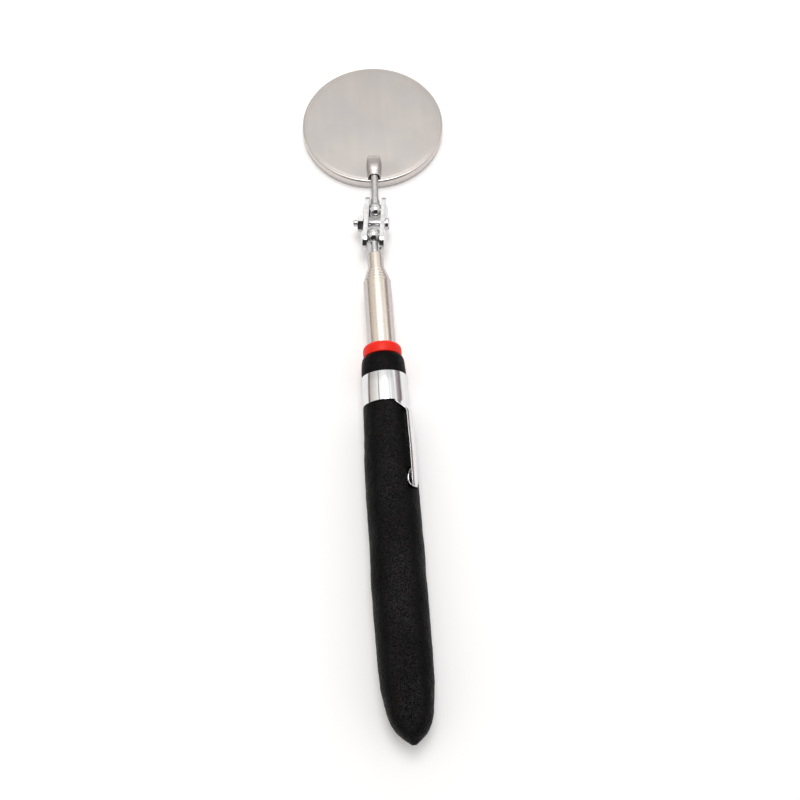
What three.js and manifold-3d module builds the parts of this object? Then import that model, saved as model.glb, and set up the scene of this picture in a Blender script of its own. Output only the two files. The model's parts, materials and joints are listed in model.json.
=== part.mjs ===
// A telescoping inspection mirror that lies on a bench: a foam grip with a pocket clip, a five-tube
// telescope, a double-ball clamp and a round mirror, face down.
// Millimetres, +Z up. The tool points along +Y; the origin is under its middle, on the bench.
import * as THREE from "three";
import { mergeVertices } from "three/addons/utils/BufferGeometryUtils.js";
import Module from "manifold-3d";

const wasm = await Module();
wasm.setup();

// ---- Driving dimensions ----

const TOTAL_LENGTH = 234;
const TAIL = -TOTAL_LENGTH / 2;
const SLIM_GAP = 0.05; // between pieces that are fixed to each other
const RUN_GAP = 0.1; // between pieces that turn or slide in each other

// Grip: a foam sleeve with an ogive tail
const BELLY_RADIUS = 8;
const AXIS_HEIGHT = BELLY_RADIUS;
const GRIP_LENGTH = 114.6;
const GRIP_FRONT_RADIUS = 7;
const OGIVE_LENGTH = 26;
const OGIVE_POWER = 0.4;
const NUB_RADIUS = 1;
const TAPER_START = 66;
const TAPER_END = 106;
const GRIP_EDGE = 0.8;
const GRIP_BORE_START = 17;
const GROOVE_MARGIN = 0.4; // of the band's groove, beyond each edge of the band
const GROOVE_STEP = 0.1;

// Collar, with a spigot inside the front of the grip
const COLLAR_RADIUS = 6.1;
const COLLAR_LENGTH = 3.9;
const COLLAR_EDGE = 1;
const SPIGOT_RADIUS = 5.5;
const SPIGOT_LENGTH = 7;

// Pocket clip: distances along the tool are measured from the tail
const BAND_START = 97.9;
const BAND_LENGTH = 9.6;
const BAND_RADIUS = 7.25;
const CLIP_SHEET = 0.4;
const CLIP_ANGLE = THREE.MathUtils.degToRad(40); // above the horizontal, on the right
const CLIP_END = 70.5;
const ARM_THICKNESS = 0.8;
const ARM_WIDTH = 2.6;
const ARM_RADIUS = 8.6; // from the tool's axis to the middle of the arm
const ARM_BOW = 0.25;
const TONGUE_WIDTH = 4.4;
const TONGUE_LENGTH = 2.3;
const TONGUE_ROOT = 0.6; // where it lies on the band
const CLIP_SPLIT = 0.3;
const FOOT_RADIUS = 2.7;
const FOOT_DEPTH = 2;
const FOOT_DENT_GAP = 0.3;

// Telescope: each tube fits in the one before it
const TUBE_RADII = [4.5, 4.05, 3.6, 3.15, 2.7];
const TUBE_WALL = 0.3;
const TUBE_FRONTS = [142.1, 143.4, 144.7, 146, 152.6];
const OUTER_TUBE_REAR = 20;
const SECTION_REAR = 27;
const SECTION_STAGGER = 7.6;
const LIP_LENGTH = 1.2;
const LIP_GAP = 0.07;
const MOUTH_EDGE = 0.2;
const NECK_LENGTH = 7.2;
const NECK_DEPTH = 0.25;
const FLANGE_LENGTH = 0.4;
const BUSH_LENGTH = 6.2;
const BUSH_SLIT = 0.8;
const END_LIP = 0.5;
const END_LIP_RADIUS = 1.6;
const END_PLUG_LENGTH = 6;
const PLUG_BEVEL = 0.5;
const REAR_PLUG_LENGTH = 5;
const REAR_PLUG_FLANGE = 1;

// Double-ball clamp
const BALL_RADIUS = 2.8;
const BALL_SPACING = 12;
const CLAMP_SWING = THREE.MathUtils.degToRad(6); // to the right of the tubes, as it lies
const HEAD_SWING = THREE.MathUtils.degToRad(2.1);
const LOWER_BALL = 159.4;
const PLATE_GAP = 4;
const PLATE_THICKNESS = 1.5;
const PLATE_HEIGHT = 6.2;
const PLATE_OVERHANG = 5.3; // beyond each ball's centre
const SEAT_RADIUS = BALL_RADIUS + 0.15;
const DOME_RADIUS = 4.4;
const NECK_RADIUS = 1.25;
const SHANK_RADIUS = 0.85;
const SHANK_HEAD = { radius: 1.5, length: 0.8 };
const SCREW_RADIUS = 1.25;
const SCREW_HOLE_RADIUS = 1.4;
const SCREW_HEAD = { radius: 2.1, length: 1.3, edge: 0.7 };
const SCREW_SLOT = { width: 0.6, depth: 0.5 };
const SCREW_TIP = 1.5; // beyond the nut
const TIP_BEVEL = 0.3;
const NUT = { acrossFlats: 5, thickness: 2, holeRadius: 1.33, chamfer: 0.35 };
const FACE_GAP = 0.15;

// Mirror head
const MIRROR_RADIUS = 25;
const SHELL_HEIGHT = 3.8;
const SHELL_SHEET = 0.5;
const SHELL_EDGE = 0.9;
const RIM_EDGE = 0.6;
const RIM_LIP = 1.4;
const GLASS = { radius: 24.3, thickness: 1.9, bevel: 0.2 };
const PAD = { radius: 23.4, thickness: 0.7 };
const STEM_HEIGHT = 5.3;
const STEM_RADIUS = 1.25;
const CONE = { radius: 1.6, start: 2.9, end: 6.4 };
const SOCKET = {
  start: 1.3, // behind the shell's edge
  length: 8,
  mouthRadius: 2.2,
  middleRadius: 2.575,
  radius: 2.75,
  round: 1.2, // of the far end
  axisHeight: 4.75,
};
const SOCKET_BORE_LENGTH = 7;
const STEM_END_GAP = 0.5; // to the end of the bore

// Facets
const TUBE_FACETS = 24;
const SMALL_FACETS = 16;
const BIG_FACETS = 48;
const BALL_FACETS = [20, 10];
const BALL_STEPS = 9;
const ARC_STEPS = 3;
const BUSH_ARC_STEPS = 12;
const PLATE_ARC_STEPS = 7;
const BOW_STEPS = 5;

// ---- Places worked out from the dimensions ----

const CLAMP_TILT = Math.asin((AXIS_HEIGHT - STEM_HEIGHT) / BALL_SPACING);
const CLAMP_REACH = BALL_SPACING * Math.cos(CLAMP_TILT);
const UPPER_BALL = LOWER_BALL + CLAMP_REACH * Math.cos(CLAMP_SWING);
const MIRROR_CENTRE = TOTAL_LENGTH - MIRROR_RADIUS;
const HEAD_REACH = (MIRROR_CENTRE - UPPER_BALL) / Math.cos(HEAD_SWING);
const UPPER_BALL_X = -HEAD_REACH * Math.sin(HEAD_SWING);
const AXIS_X = UPPER_BALL_X - CLAMP_REACH * Math.sin(CLAMP_SWING); // of the tubes
const BAND_END = BAND_START + BAND_LENGTH;
const PLATE_FACE = PLATE_GAP / 2 + PLATE_THICKNESS;

// ---- Finishes ----

const FINISHES = {
  foam: { color: 0x1d1c1d, roughness: 0.85, metalness: 0 },
  red: { color: 0xd8200f, roughness: 0.35, metalness: 0 },
  plate: { color: 0xd9d6d2, roughness: 0.12, metalness: 1 },
  chrome: { color: 0xe4e4e6, roughness: 0.08, metalness: 1 },
  satin: { color: 0xc9c4bd, roughness: 0.38, metalness: 1 },
  bronze: { color: 0xb5813f, roughness: 0.35, metalness: 1 },
  plastic: { color: 0x2a2a2c, roughness: 0.6, metalness: 0 },
  pad: { color: 0xbfc0bd, roughness: 0.9, metalness: 0 },
  glass: { color: 0xdfe6e8, roughness: 0.02, metalness: 1 },
};

// ---- Helpers ----

/** A named sub-part. */
function part(name, finish, geometry) {
  const mesh = new THREE.Mesh(geometry, new THREE.MeshStandardMaterial(FINISHES[finish]));
  mesh.name = name;
  return mesh;
}

/** The manifold-3d solid of a closed geometry. */
function solid(geometry) {
  const bare = geometry.clone();
  bare.deleteAttribute("normal");
  bare.deleteAttribute("uv");
  const merged = mergeVertices(bare, 1e-4);
  const vertProperties = merged.attributes.position.array;
  const triVerts = new Uint32Array(merged.index.array);
  return new wasm.Manifold(new wasm.Mesh({ numProp: 3, vertProperties, triVerts }));
}

/** The geometry of a manifold-3d solid. */
function geometryOf(made) {
  const mesh = made.getMesh();
  const geometry = new THREE.BufferGeometry();
  geometry.setAttribute("position", new THREE.BufferAttribute(mesh.vertProperties, mesh.numProp));
  geometry.setIndex(new THREE.BufferAttribute(mesh.triVerts, 1));
  geometry.computeVertexNormals();
  return geometry;
}

/** Points of a round corner in an outline of [radius, height] pairs; angles in quarter turns. */
function corner(radius, height, round, fromQuarter, toQuarter, steps = ARC_STEPS) {
  return Array.from({ length: steps + 1 }, (_, i) => {
    const angle = ((fromQuarter + ((toQuarter - fromQuarter) * i) / steps) * Math.PI) / 2;
    return [radius + round * Math.cos(angle), height + round * Math.sin(angle)];
  });
}

/** Turns an outline of [radius, y] pairs round the Y axis: up its outer side, then down its inner side. */
function turned(outline, facets = TUBE_FACETS) {
  const points = outline.map(([radius, y]) => new THREE.Vector2(Math.max(radius, 0), y));
  if (points[0].x > 0) points.push(points[0].clone());
  return new THREE.LatheGeometry(points, facets);
}

/** Turns an outline of [radius, x] pairs round the X axis. */
function turnedAcross(outline, facets = SMALL_FACETS) {
  return turned(outline, facets).rotateZ(-Math.PI / 2);
}

/** Turns an outline of [radius, z] pairs round the Z axis. */
function turnedUpright(outline, facets = BIG_FACETS) {
  return turned(outline, facets).rotateX(Math.PI / 2);
}

/** A box from its middle and its sides. */
function block(sides, middle) {
  return new THREE.BoxGeometry(...sides).translate(...middle);
}

// ---- Grip ----

/** Radius of the grip's skin at a distance from the tail. */
function gripRadius(s) {
  if (s < OGIVE_LENGTH) {
    const u = 1 - s / OGIVE_LENGTH;
    return Math.max(NUB_RADIUS, BELLY_RADIUS * (1 - u * u) ** OGIVE_POWER);
  }
  const t = THREE.MathUtils.smoothstep(s, TAPER_START, TAPER_END);
  return THREE.MathUtils.lerp(BELLY_RADIUS, GRIP_FRONT_RADIUS, t);
}

/** The dome of the clip's foot, in the clip's frame, grown by a gap. */
function footDome(gap) {
  const reach = FOOT_RADIUS + gap;
  const dome = new THREE.SphereGeometry(reach, ...BALL_FACETS).rotateZ(Math.PI / 2);
  dome.scale((FOOT_DEPTH + gap) / reach, 1, 1);
  const y = TAIL + CLIP_END + FOOT_RADIUS;
  return dome.translate(ARM_RADIUS - ARM_THICKNESS / 2, y, 0);
}

function foamGrip() {
  const ogive = [0, 0.6, 2, 4.5, 8, 13, 20, OGIVE_LENGTH];
  const belly = [TAPER_START, 78, 88, BAND_START - GROOVE_MARGIN - GROOVE_STEP];
  const groove = BAND_RADIUS - CLIP_SHEET - RUN_GAP;
  const skin = [...ogive, ...belly].map((s) => [gripRadius(s), s]);
  const outline = [
    [0, 0],
    ...skin,
    [groove, BAND_START - GROOVE_MARGIN],
    [groove, BAND_END + GROOVE_MARGIN],
    [GRIP_FRONT_RADIUS, BAND_END + GROOVE_MARGIN + GROOVE_STEP],
    ...corner(GRIP_FRONT_RADIUS - GRIP_EDGE, GRIP_LENGTH - GRIP_EDGE, GRIP_EDGE, 0, 1),
    [SPIGOT_RADIUS + SLIM_GAP, GRIP_LENGTH],
    [SPIGOT_RADIUS + SLIM_GAP, GRIP_LENGTH - SPIGOT_LENGTH - SLIM_GAP],
    [TUBE_RADII[0] + SLIM_GAP, GRIP_LENGTH - SPIGOT_LENGTH - SLIM_GAP],
    [TUBE_RADII[0] + SLIM_GAP, GRIP_BORE_START],
    [0, GRIP_BORE_START],
  ];
  const dent = solid(footDome(FOOT_DENT_GAP).rotateY(-CLIP_ANGLE));
  return geometryOf(solid(turned(outline).translate(0, TAIL, 0)).subtract(dent));
}

function redCollar() {
  const bore = TUBE_RADII[0] + SLIM_GAP;
  const back = GRIP_LENGTH + SLIM_GAP;
  const front = GRIP_LENGTH + COLLAR_LENGTH;
  const outline = [
    [bore, GRIP_LENGTH - SPIGOT_LENGTH],
    [SPIGOT_RADIUS, GRIP_LENGTH - SPIGOT_LENGTH],
    [SPIGOT_RADIUS, back],
    [COLLAR_RADIUS, back],
    ...corner(COLLAR_RADIUS - COLLAR_EDGE, front - COLLAR_EDGE, COLLAR_EDGE, 0, 1),
    [bore, front],
  ];
  return turned(outline).translate(0, TAIL, 0);
}

function outerTubePlug() {
  const radius = TUBE_RADII[0] - TUBE_WALL - SLIM_GAP;
  const outline = [
    [0, OUTER_TUBE_REAR - SLIM_GAP - REAR_PLUG_FLANGE],
    [TUBE_RADII[0], OUTER_TUBE_REAR - SLIM_GAP - REAR_PLUG_FLANGE],
    [TUBE_RADII[0], OUTER_TUBE_REAR - SLIM_GAP],
    [radius, OUTER_TUBE_REAR - SLIM_GAP],
    [radius, OUTER_TUBE_REAR + REAR_PLUG_LENGTH],
    [0, OUTER_TUBE_REAR + REAR_PLUG_LENGTH],
  ];
  return turned(outline).translate(0, TAIL, 0);
}

// ---- Pocket clip, in a frame whose X points out from the grip through the arm ----

/** The band, with the short stepped tongue that carries the arm. */
function clipBand() {
  const inner = BAND_RADIUS - CLIP_SHEET;
  const ring = turned([
    [inner, BAND_START],
    [BAND_RADIUS, BAND_START],
    [BAND_RADIUS, BAND_END],
    [inner, BAND_END],
  ]);
  const step = new THREE.Shape();
  const outside = ARM_RADIUS + ARM_THICKNESS / 2;
  step.moveTo(BAND_RADIUS, BAND_START + TONGUE_ROOT);
  step.lineTo(BAND_RADIUS - CLIP_SHEET / 2, BAND_START + TONGUE_ROOT);
  step.lineTo(outside - ARM_THICKNESS, BAND_START - TONGUE_LENGTH + ARM_THICKNESS);
  step.lineTo(outside - ARM_THICKNESS, BAND_START - TONGUE_LENGTH);
  step.lineTo(outside, BAND_START - TONGUE_LENGTH);
  step.lineTo(outside, BAND_START - TONGUE_LENGTH + ARM_THICKNESS);
  step.closePath();
  const tongue = new THREE.ExtrudeGeometry(step, { depth: TONGUE_WIDTH, bevelEnabled: false });
  tongue.translate(0, 0, -TONGUE_WIDTH / 2);
  return geometryOf(solid(ring).add(solid(tongue))).translate(0, TAIL, 0);
}

/** The bowed arm, with the domed foot that presses into the foam. */
function clipArm() {
  const start = BAND_START - TONGUE_LENGTH - CLIP_SPLIT;
  const end = CLIP_END + FOOT_RADIUS;
  const bowed = (side) => (s) => {
    const bow = ARM_BOW * Math.sin((Math.PI * (s - end)) / (start - end));
    return new THREE.Vector2(ARM_RADIUS + bow + (side * ARM_THICKNESS) / 2, s);
  };
  const stations = Array.from({ length: BOW_STEPS + 1 }, (_, i) => start + ((end - start) * i) / BOW_STEPS);
  const outline = [
    ...stations.map(bowed(-1)),
    ...[...stations].reverse().map(bowed(1)),
  ];
  const profile = new THREE.Shape(outline);
  const strip = new THREE.ExtrudeGeometry(profile, { depth: ARM_WIDTH, bevelEnabled: false });
  strip.translate(0, 0, -ARM_WIDTH / 2).translate(0, TAIL, 0);
  const pad = new THREE.CylinderGeometry(FOOT_RADIUS, FOOT_RADIUS, ARM_THICKNESS, SMALL_FACETS);
  pad.rotateZ(Math.PI / 2).translate(ARM_RADIUS, TAIL + end, 0);
  const inward = solid(block([FOOT_DEPTH * 2, 10, 10], [ARM_RADIUS - FOOT_DEPTH, TAIL + end, 0]));
  const dome = solid(footDome(0)).intersect(inward);
  return geometryOf(solid(strip).add(solid(pad)).add(dome));
}

// ---- Telescope ----

/** The distance from the tail to the rear end of a sliding tube. */
function sectionRear(index) {
  return SECTION_REAR + (index - 1) * SECTION_STAGGER;
}

/** The front end of a tube that lets the next one slide out: its lip is rolled in. */
function slidingMouth(index) {
  const radius = TUBE_RADII[index];
  const front = TUBE_FRONTS[index];
  const lip = TUBE_RADII[index + 1] + LIP_GAP;
  return [
    ...corner(radius - MOUTH_EDGE, front - MOUTH_EDGE, MOUTH_EDGE, 0, 1, 2),
    [lip, front],
    [lip, front - LIP_LENGTH],
    [radius - TUBE_WALL, front - LIP_LENGTH],
  ];
}

/** The front end of the innermost tube, rolled in over its plug. */
function closedMouth(index) {
  const radius = TUBE_RADII[index];
  const front = TUBE_FRONTS[index];
  const edge = END_LIP + TUBE_WALL;
  return [
    ...corner(radius - edge, front - edge, edge, 0, 1),
    [END_LIP_RADIUS, front],
    [END_LIP_RADIUS, front - END_LIP],
    [radius - TUBE_WALL - MOUTH_EDGE, front - END_LIP],
    [radius - TUBE_WALL, front - edge],
  ];
}

function outerTube() {
  const radius = TUBE_RADII[0];
  const outline = [
    [radius - TUBE_WALL, OUTER_TUBE_REAR],
    [radius, OUTER_TUBE_REAR],
    ...slidingMouth(0),
  ];
  return turned(outline).translate(0, TAIL, 0);
}

/** A sliding tube: its rear end is necked to hold the friction bush, between a flange and a shoulder. */
function tubeSection(index) {
  const radius = TUBE_RADII[index];
  const rear = sectionRear(index);
  const neck = radius - NECK_DEPTH;
  const last = index === TUBE_RADII.length - 1;
  const outline = [
    [neck - TUBE_WALL, rear],
    [radius + RUN_GAP / 2, rear],
    [radius + RUN_GAP / 2, rear + FLANGE_LENGTH],
    [neck, rear + FLANGE_LENGTH],
    [neck, rear + NECK_LENGTH],
    [radius, rear + NECK_LENGTH],
    ...(last ? closedMouth(index) : slidingMouth(index)),
    [radius - TUBE_WALL, rear + NECK_LENGTH + TUBE_WALL],
    [neck - TUBE_WALL, rear + NECK_LENGTH],
  ];
  return turned(outline).translate(0, TAIL, 0);
}

/** The slit spring bush on the neck of a sliding tube. */
function frictionBush(index) {
  const outer = TUBE_RADII[index] + RUN_GAP;
  const inner = TUBE_RADII[index] - NECK_DEPTH + SLIM_GAP;
  const outerGap = BUSH_SLIT / outer / 2;
  const innerGap = BUSH_SLIT / inner / 2;
  const ring = new THREE.Shape();
  ring.absarc(0, 0, outer, outerGap, 2 * Math.PI - outerGap, false);
  ring.absarc(0, 0, inner, 2 * Math.PI - innerGap, innerGap, true);
  ring.closePath();
  const bush = new THREE.ExtrudeGeometry(ring, {
    depth: BUSH_LENGTH,
    bevelEnabled: false,
    curveSegments: BUSH_ARC_STEPS,
  });
  const start = sectionRear(index) + FLANGE_LENGTH + RUN_GAP;
  return bush.rotateX(-Math.PI / 2).translate(0, TAIL + start, 0);
}

/** The plug in the tip of the innermost tube; the ball stud's shank turns in it. */
function tubeEndPlug() {
  const radius = TUBE_RADII[TUBE_RADII.length - 1] - TUBE_WALL - SLIM_GAP;
  const front = TUBE_FRONTS[TUBE_FRONTS.length - 1] - END_LIP - SLIM_GAP;
  const bore = SHANK_RADIUS + RUN_GAP;
  const outline = [
    [bore, front - END_PLUG_LENGTH],
    [radius, front - END_PLUG_LENGTH],
    [radius, front - PLUG_BEVEL],
    [radius - PLUG_BEVEL, front],
    [bore, front],
  ];
  return turned(outline, SMALL_FACETS).translate(0, TAIL, 0);
}

// ---- Double-ball clamp, in a frame at the lower ball with +Y through the upper ball ----

/** Points of a ball's outline from just above one pole to a neck of the given radius, or the other way. */
function ballOutline(fromRadius, toRadius) {
  const from = -Math.PI / 2 + Math.asin(fromRadius / BALL_RADIUS);
  const to = Math.PI / 2 - Math.asin(toRadius / BALL_RADIUS);
  return Array.from({ length: BALL_STEPS + 1 }, (_, i) => {
    const angle = from + ((to - from) * i) / BALL_STEPS;
    return [BALL_RADIUS * Math.cos(angle), BALL_RADIUS * Math.sin(angle)];
  });
}

/** The lower ball, its neck, and the shank that is headed over behind the tube's plug. */
function lowerBallStud() {
  const plugFront = TUBE_FRONTS[TUBE_FRONTS.length - 1] - END_LIP - SLIM_GAP - LOWER_BALL;
  const plugBack = plugFront - END_PLUG_LENGTH;
  const outline = [
    [0, plugBack - RUN_GAP - SHANK_HEAD.length],
    [SHANK_HEAD.radius, plugBack - RUN_GAP - SHANK_HEAD.length],
    [SHANK_HEAD.radius, plugBack - RUN_GAP],
    [SHANK_RADIUS, plugBack - RUN_GAP],
    [SHANK_RADIUS, plugFront + RUN_GAP],
    [NECK_RADIUS, plugFront + RUN_GAP],
    ...ballOutline(NECK_RADIUS, 0),
  ];
  return turned(outline, SMALL_FACETS).translate(0, TAIL + LOWER_BALL, 0);
}

/** One side plate: a round-ended slab with a screw hole, two ball seats, and domes behind the seats. */
function clampPlate(side) {
  const end = PLATE_HEIGHT / 2;
  const outline = new THREE.Shape();
  outline.absarc(BALL_SPACING + PLATE_OVERHANG - end, 0, end, -Math.PI / 2, Math.PI / 2, false);
  outline.absarc(end - PLATE_OVERHANG, 0, end, Math.PI / 2, (3 * Math.PI) / 2, false);
  outline.closePath();
  const hole = new THREE.Path();
  hole.absarc(BALL_SPACING / 2, 0, SCREW_HOLE_RADIUS, 0, 2 * Math.PI, true);
  outline.holes.push(hole);
  const slab = new THREE.ExtrudeGeometry(outline, {
    depth: PLATE_THICKNESS,
    bevelEnabled: false,
    curveSegments: PLATE_ARC_STEPS,
  });
  const alongClamp = new THREE.Matrix4().makeBasis(
    new THREE.Vector3(0, 1, 0),
    new THREE.Vector3(0, 0, 1),
    new THREE.Vector3(1, 0, 0),
  );
  slab.applyMatrix4(alongClamp).translate(PLATE_GAP / 2, 0, 0);
  let plate = solid(slab);
  for (const y of [0, BALL_SPACING]) {
    const ball = (radius) => new THREE.SphereGeometry(radius, ...BALL_FACETS).rotateZ(Math.PI / 2);
    const outside = solid(block([2, 10, 10], [PLATE_FACE + 1 - SLIM_GAP, y, 0]));
    plate = plate.add(solid(ball(DOME_RADIUS).translate(0, y, 0)).intersect(outside));
    plate = plate.subtract(solid(ball(SEAT_RADIUS).translate(0, y, 0)));
  }
  return geometryOf(side < 0 ? plate.mirror([1, 0, 0]) : plate);
}

/** The pinch screw: slotted round head on the right, tip standing out of the nut on the left. */
function clampScrew() {
  const tip = -(PLATE_FACE + FACE_GAP + NUT.thickness + SCREW_TIP);
  const under = PLATE_FACE + FACE_GAP;
  const top = under + SCREW_HEAD.length;
  const outline = [
    [0, tip],
    [SCREW_RADIUS - TIP_BEVEL, tip],
    [SCREW_RADIUS, tip + TIP_BEVEL],
    [SCREW_RADIUS, under],
    [SCREW_HEAD.radius, under],
    ...corner(SCREW_HEAD.radius - SCREW_HEAD.edge, top - SCREW_HEAD.edge, SCREW_HEAD.edge, 0, 1),
    [0, top],
  ];
  const slotMiddle = [top, 0, 0];
  const slot = solid(block([SCREW_SLOT.depth * 2, SCREW_HEAD.radius * 3, SCREW_SLOT.width], slotMiddle));
  return geometryOf(solid(turnedAcross(outline)).subtract(slot)).translate(0, BALL_SPACING / 2, 0);
}

/** The hex nut, its corners chamfered on both faces. */
function clampNut() {
  const reach = NUT.acrossFlats / Math.sqrt(3);
  const hexagon = new THREE.CylinderGeometry(reach, reach, NUT.thickness, 6).rotateZ(Math.PI / 2);
  const barrel = turnedAcross([
    [NUT.holeRadius, -NUT.thickness / 2],
    [reach - NUT.chamfer, -NUT.thickness / 2],
    [reach, -NUT.thickness / 2 + NUT.chamfer],
    [reach, NUT.thickness / 2 - NUT.chamfer],
    [reach - NUT.chamfer, NUT.thickness / 2],
    [NUT.holeRadius, NUT.thickness / 2],
  ]);
  const middle = -(PLATE_FACE + FACE_GAP + NUT.thickness / 2);
  return geometryOf(solid(hexagon).intersect(solid(barrel))).translate(middle, BALL_SPACING / 2, 0);
}

// ---- Mirror head ----

/** The upper ball, the cone behind it and the thin stem that turns in the shell's socket. */
function upperBallStud() {
  const stemEnd = HEAD_REACH - MIRROR_RADIUS + SOCKET.start + SOCKET_BORE_LENGTH - STEM_END_GAP;
  const outline = [
    ...ballOutline(0, CONE.radius),
    [CONE.radius, CONE.start],
    [STEM_RADIUS, CONE.end],
    [STEM_RADIUS, stemEnd - TIP_BEVEL],
    [STEM_RADIUS - TIP_BEVEL, stemEnd],
    [0, stemEnd],
  ];
  return turned(outline, SMALL_FACETS);
}

/** The round back shell: flat top, rolled rim lip under the glass, and the raised socket for the stem. */
function mirrorShell() {
  const wall = MIRROR_RADIUS - SHELL_SHEET;
  const cup = turnedUpright([
    [0, SHELL_HEIGHT - SHELL_SHEET],
    [wall, SHELL_HEIGHT - SHELL_SHEET],
    [wall, SHELL_SHEET],
    [MIRROR_RADIUS - RIM_LIP, SHELL_SHEET],
    [MIRROR_RADIUS - RIM_LIP, 0],
    ...corner(MIRROR_RADIUS - RIM_EDGE, RIM_EDGE, RIM_EDGE, -1, 0),
    ...corner(MIRROR_RADIUS - SHELL_EDGE, SHELL_HEIGHT - SHELL_EDGE, SHELL_EDGE, 0, 1),
    [0, SHELL_HEIGHT],
  ]);
  const mouth = SOCKET.start - MIRROR_RADIUS;
  const far = mouth + SOCKET.length;
  const barrel = turned([
    [0, mouth],
    [SOCKET.mouthRadius, mouth],
    [SOCKET.middleRadius, mouth + SOCKET.length * 0.3],
    [SOCKET.radius, mouth + SOCKET.length * 0.6],
    ...corner(SOCKET.radius - SOCKET.round, far - SOCKET.round, SOCKET.round, 0, 1),
    [0, far],
  ]).translate(0, 0, SOCKET.axisHeight);
  const aboveShell = block([10, 20, 6], [0, mouth + SOCKET.length / 2, SHELL_HEIGHT + 3 - SHELL_SHEET / 2]);
  const bore = turned(
    [
      [0, mouth - 1],
      [STEM_RADIUS + RUN_GAP, mouth - 1],
      [STEM_RADIUS + RUN_GAP, mouth + SOCKET_BORE_LENGTH],
      [0, mouth + SOCKET_BORE_LENGTH],
    ],
    SMALL_FACETS,
  ).translate(0, 0, STEM_HEIGHT);
  const socket = solid(barrel).intersect(solid(aboveShell));
  return geometryOf(solid(cup).add(socket).subtract(solid(bore)));
}

function mirrorGlass() {
  const bottom = SHELL_SHEET + SLIM_GAP;
  const { radius, thickness, bevel } = GLASS;
  return turnedUpright([
    [0, bottom],
    [radius - bevel, bottom],
    [radius, bottom + bevel],
    [radius, bottom + thickness],
    [0, bottom + thickness],
  ]);
}

function mirrorPad() {
  const bottom = SHELL_SHEET + GLASS.thickness + 2 * SLIM_GAP;
  return turnedUpright([
    [0, bottom],
    [PAD.radius, bottom],
    [PAD.radius, bottom + PAD.thickness],
    [0, bottom + PAD.thickness],
  ]);
}

// ---- Assembly ----

const tool = new THREE.Group();

const handle = new THREE.Group();
handle.position.set(AXIS_X, 0, AXIS_HEIGHT);
handle.add(
  part("foam_grip", "foam", foamGrip()),
  part("red_collar", "red", redCollar()),
  part("outer_tube", "plate", outerTube()),
  part("outer_tube_plug", "plastic", outerTubePlug()),
  part("tube_end_plug", "plastic", tubeEndPlug()),
  part("lower_ball_stud", "chrome", lowerBallStud()),
);
for (let index = 1; index < TUBE_RADII.length; index += 1) {
  handle.add(
    part(`tube_section_${index + 1}`, "plate", tubeSection(index)),
    part(`friction_bush_${index + 1}`, "bronze", frictionBush(index)),
  );
}

const clip = new THREE.Group();
clip.rotation.y = -CLIP_ANGLE;
clip.add(part("clip_band", "chrome", clipBand()), part("clip_arm", "chrome", clipArm()));
handle.add(clip);

const clamp = new THREE.Group();
clamp.position.y = TAIL + LOWER_BALL;
clamp.rotation.set(-CLAMP_TILT, 0, -CLAMP_SWING, "ZYX");
clamp.add(
  part("clamp_plate_left", "chrome", clampPlate(-1)),
  part("clamp_plate_right", "chrome", clampPlate(1)),
  part("clamp_screw", "chrome", clampScrew()),
  part("clamp_nut", "chrome", clampNut()),
);
handle.add(clamp);

const stem = new THREE.Group();
stem.position.set(UPPER_BALL_X, TAIL + UPPER_BALL, STEM_HEIGHT);
stem.rotation.z = -HEAD_SWING;
stem.add(part("upper_ball_stud", "chrome", upperBallStud()));

const head = new THREE.Group();
head.position.y = TAIL + MIRROR_CENTRE;
head.rotation.z = -HEAD_SWING;
head.add(
  part("mirror_shell", "satin", mirrorShell()),
  part("mirror_glass", "glass", mirrorGlass()),
  part("mirror_pad", "pad", mirrorPad()),
);

tool.add(handle, stem, head);

export default tool;
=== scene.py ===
"""Looks for a telescoping inspection mirror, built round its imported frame.

Each sub-assembly is a class that holds its sizes in millimetres, builds its meshes in metres in
the frame's own axes, and dresses them. The tool lies along +Y with its mirror face down on z = 0.
"""

import json
import logging
import math
from dataclasses import dataclass
from enum import Enum
from typing import Any, Callable, Iterable, Optional, Sequence

import bmesh
import bpy
from mathutils import Matrix, Vector, noise


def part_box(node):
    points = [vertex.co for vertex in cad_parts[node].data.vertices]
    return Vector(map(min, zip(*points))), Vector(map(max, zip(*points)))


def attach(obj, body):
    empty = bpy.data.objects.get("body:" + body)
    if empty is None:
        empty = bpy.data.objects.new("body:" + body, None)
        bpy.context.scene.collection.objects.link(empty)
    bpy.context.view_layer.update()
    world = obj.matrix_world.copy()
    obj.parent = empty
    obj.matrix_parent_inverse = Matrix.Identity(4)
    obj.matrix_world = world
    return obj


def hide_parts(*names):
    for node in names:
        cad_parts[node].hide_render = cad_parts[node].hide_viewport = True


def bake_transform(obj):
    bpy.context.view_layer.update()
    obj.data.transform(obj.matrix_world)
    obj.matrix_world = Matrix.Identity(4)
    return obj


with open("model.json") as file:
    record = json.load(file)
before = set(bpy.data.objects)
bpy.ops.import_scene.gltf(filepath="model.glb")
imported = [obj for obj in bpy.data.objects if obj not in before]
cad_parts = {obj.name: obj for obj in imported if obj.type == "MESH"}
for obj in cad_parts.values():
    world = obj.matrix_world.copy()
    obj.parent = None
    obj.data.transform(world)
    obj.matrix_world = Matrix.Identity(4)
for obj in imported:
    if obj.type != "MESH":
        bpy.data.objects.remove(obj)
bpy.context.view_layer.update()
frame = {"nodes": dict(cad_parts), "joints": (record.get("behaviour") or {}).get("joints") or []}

MM = 0.001
LOG = logging.getLogger("inspection_mirror")
Corner = tuple[float, float, float]  # radius, distance along the axis, rounding
Colour = tuple[float, float, float, float]  # linear shares of light, and alpha


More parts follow.
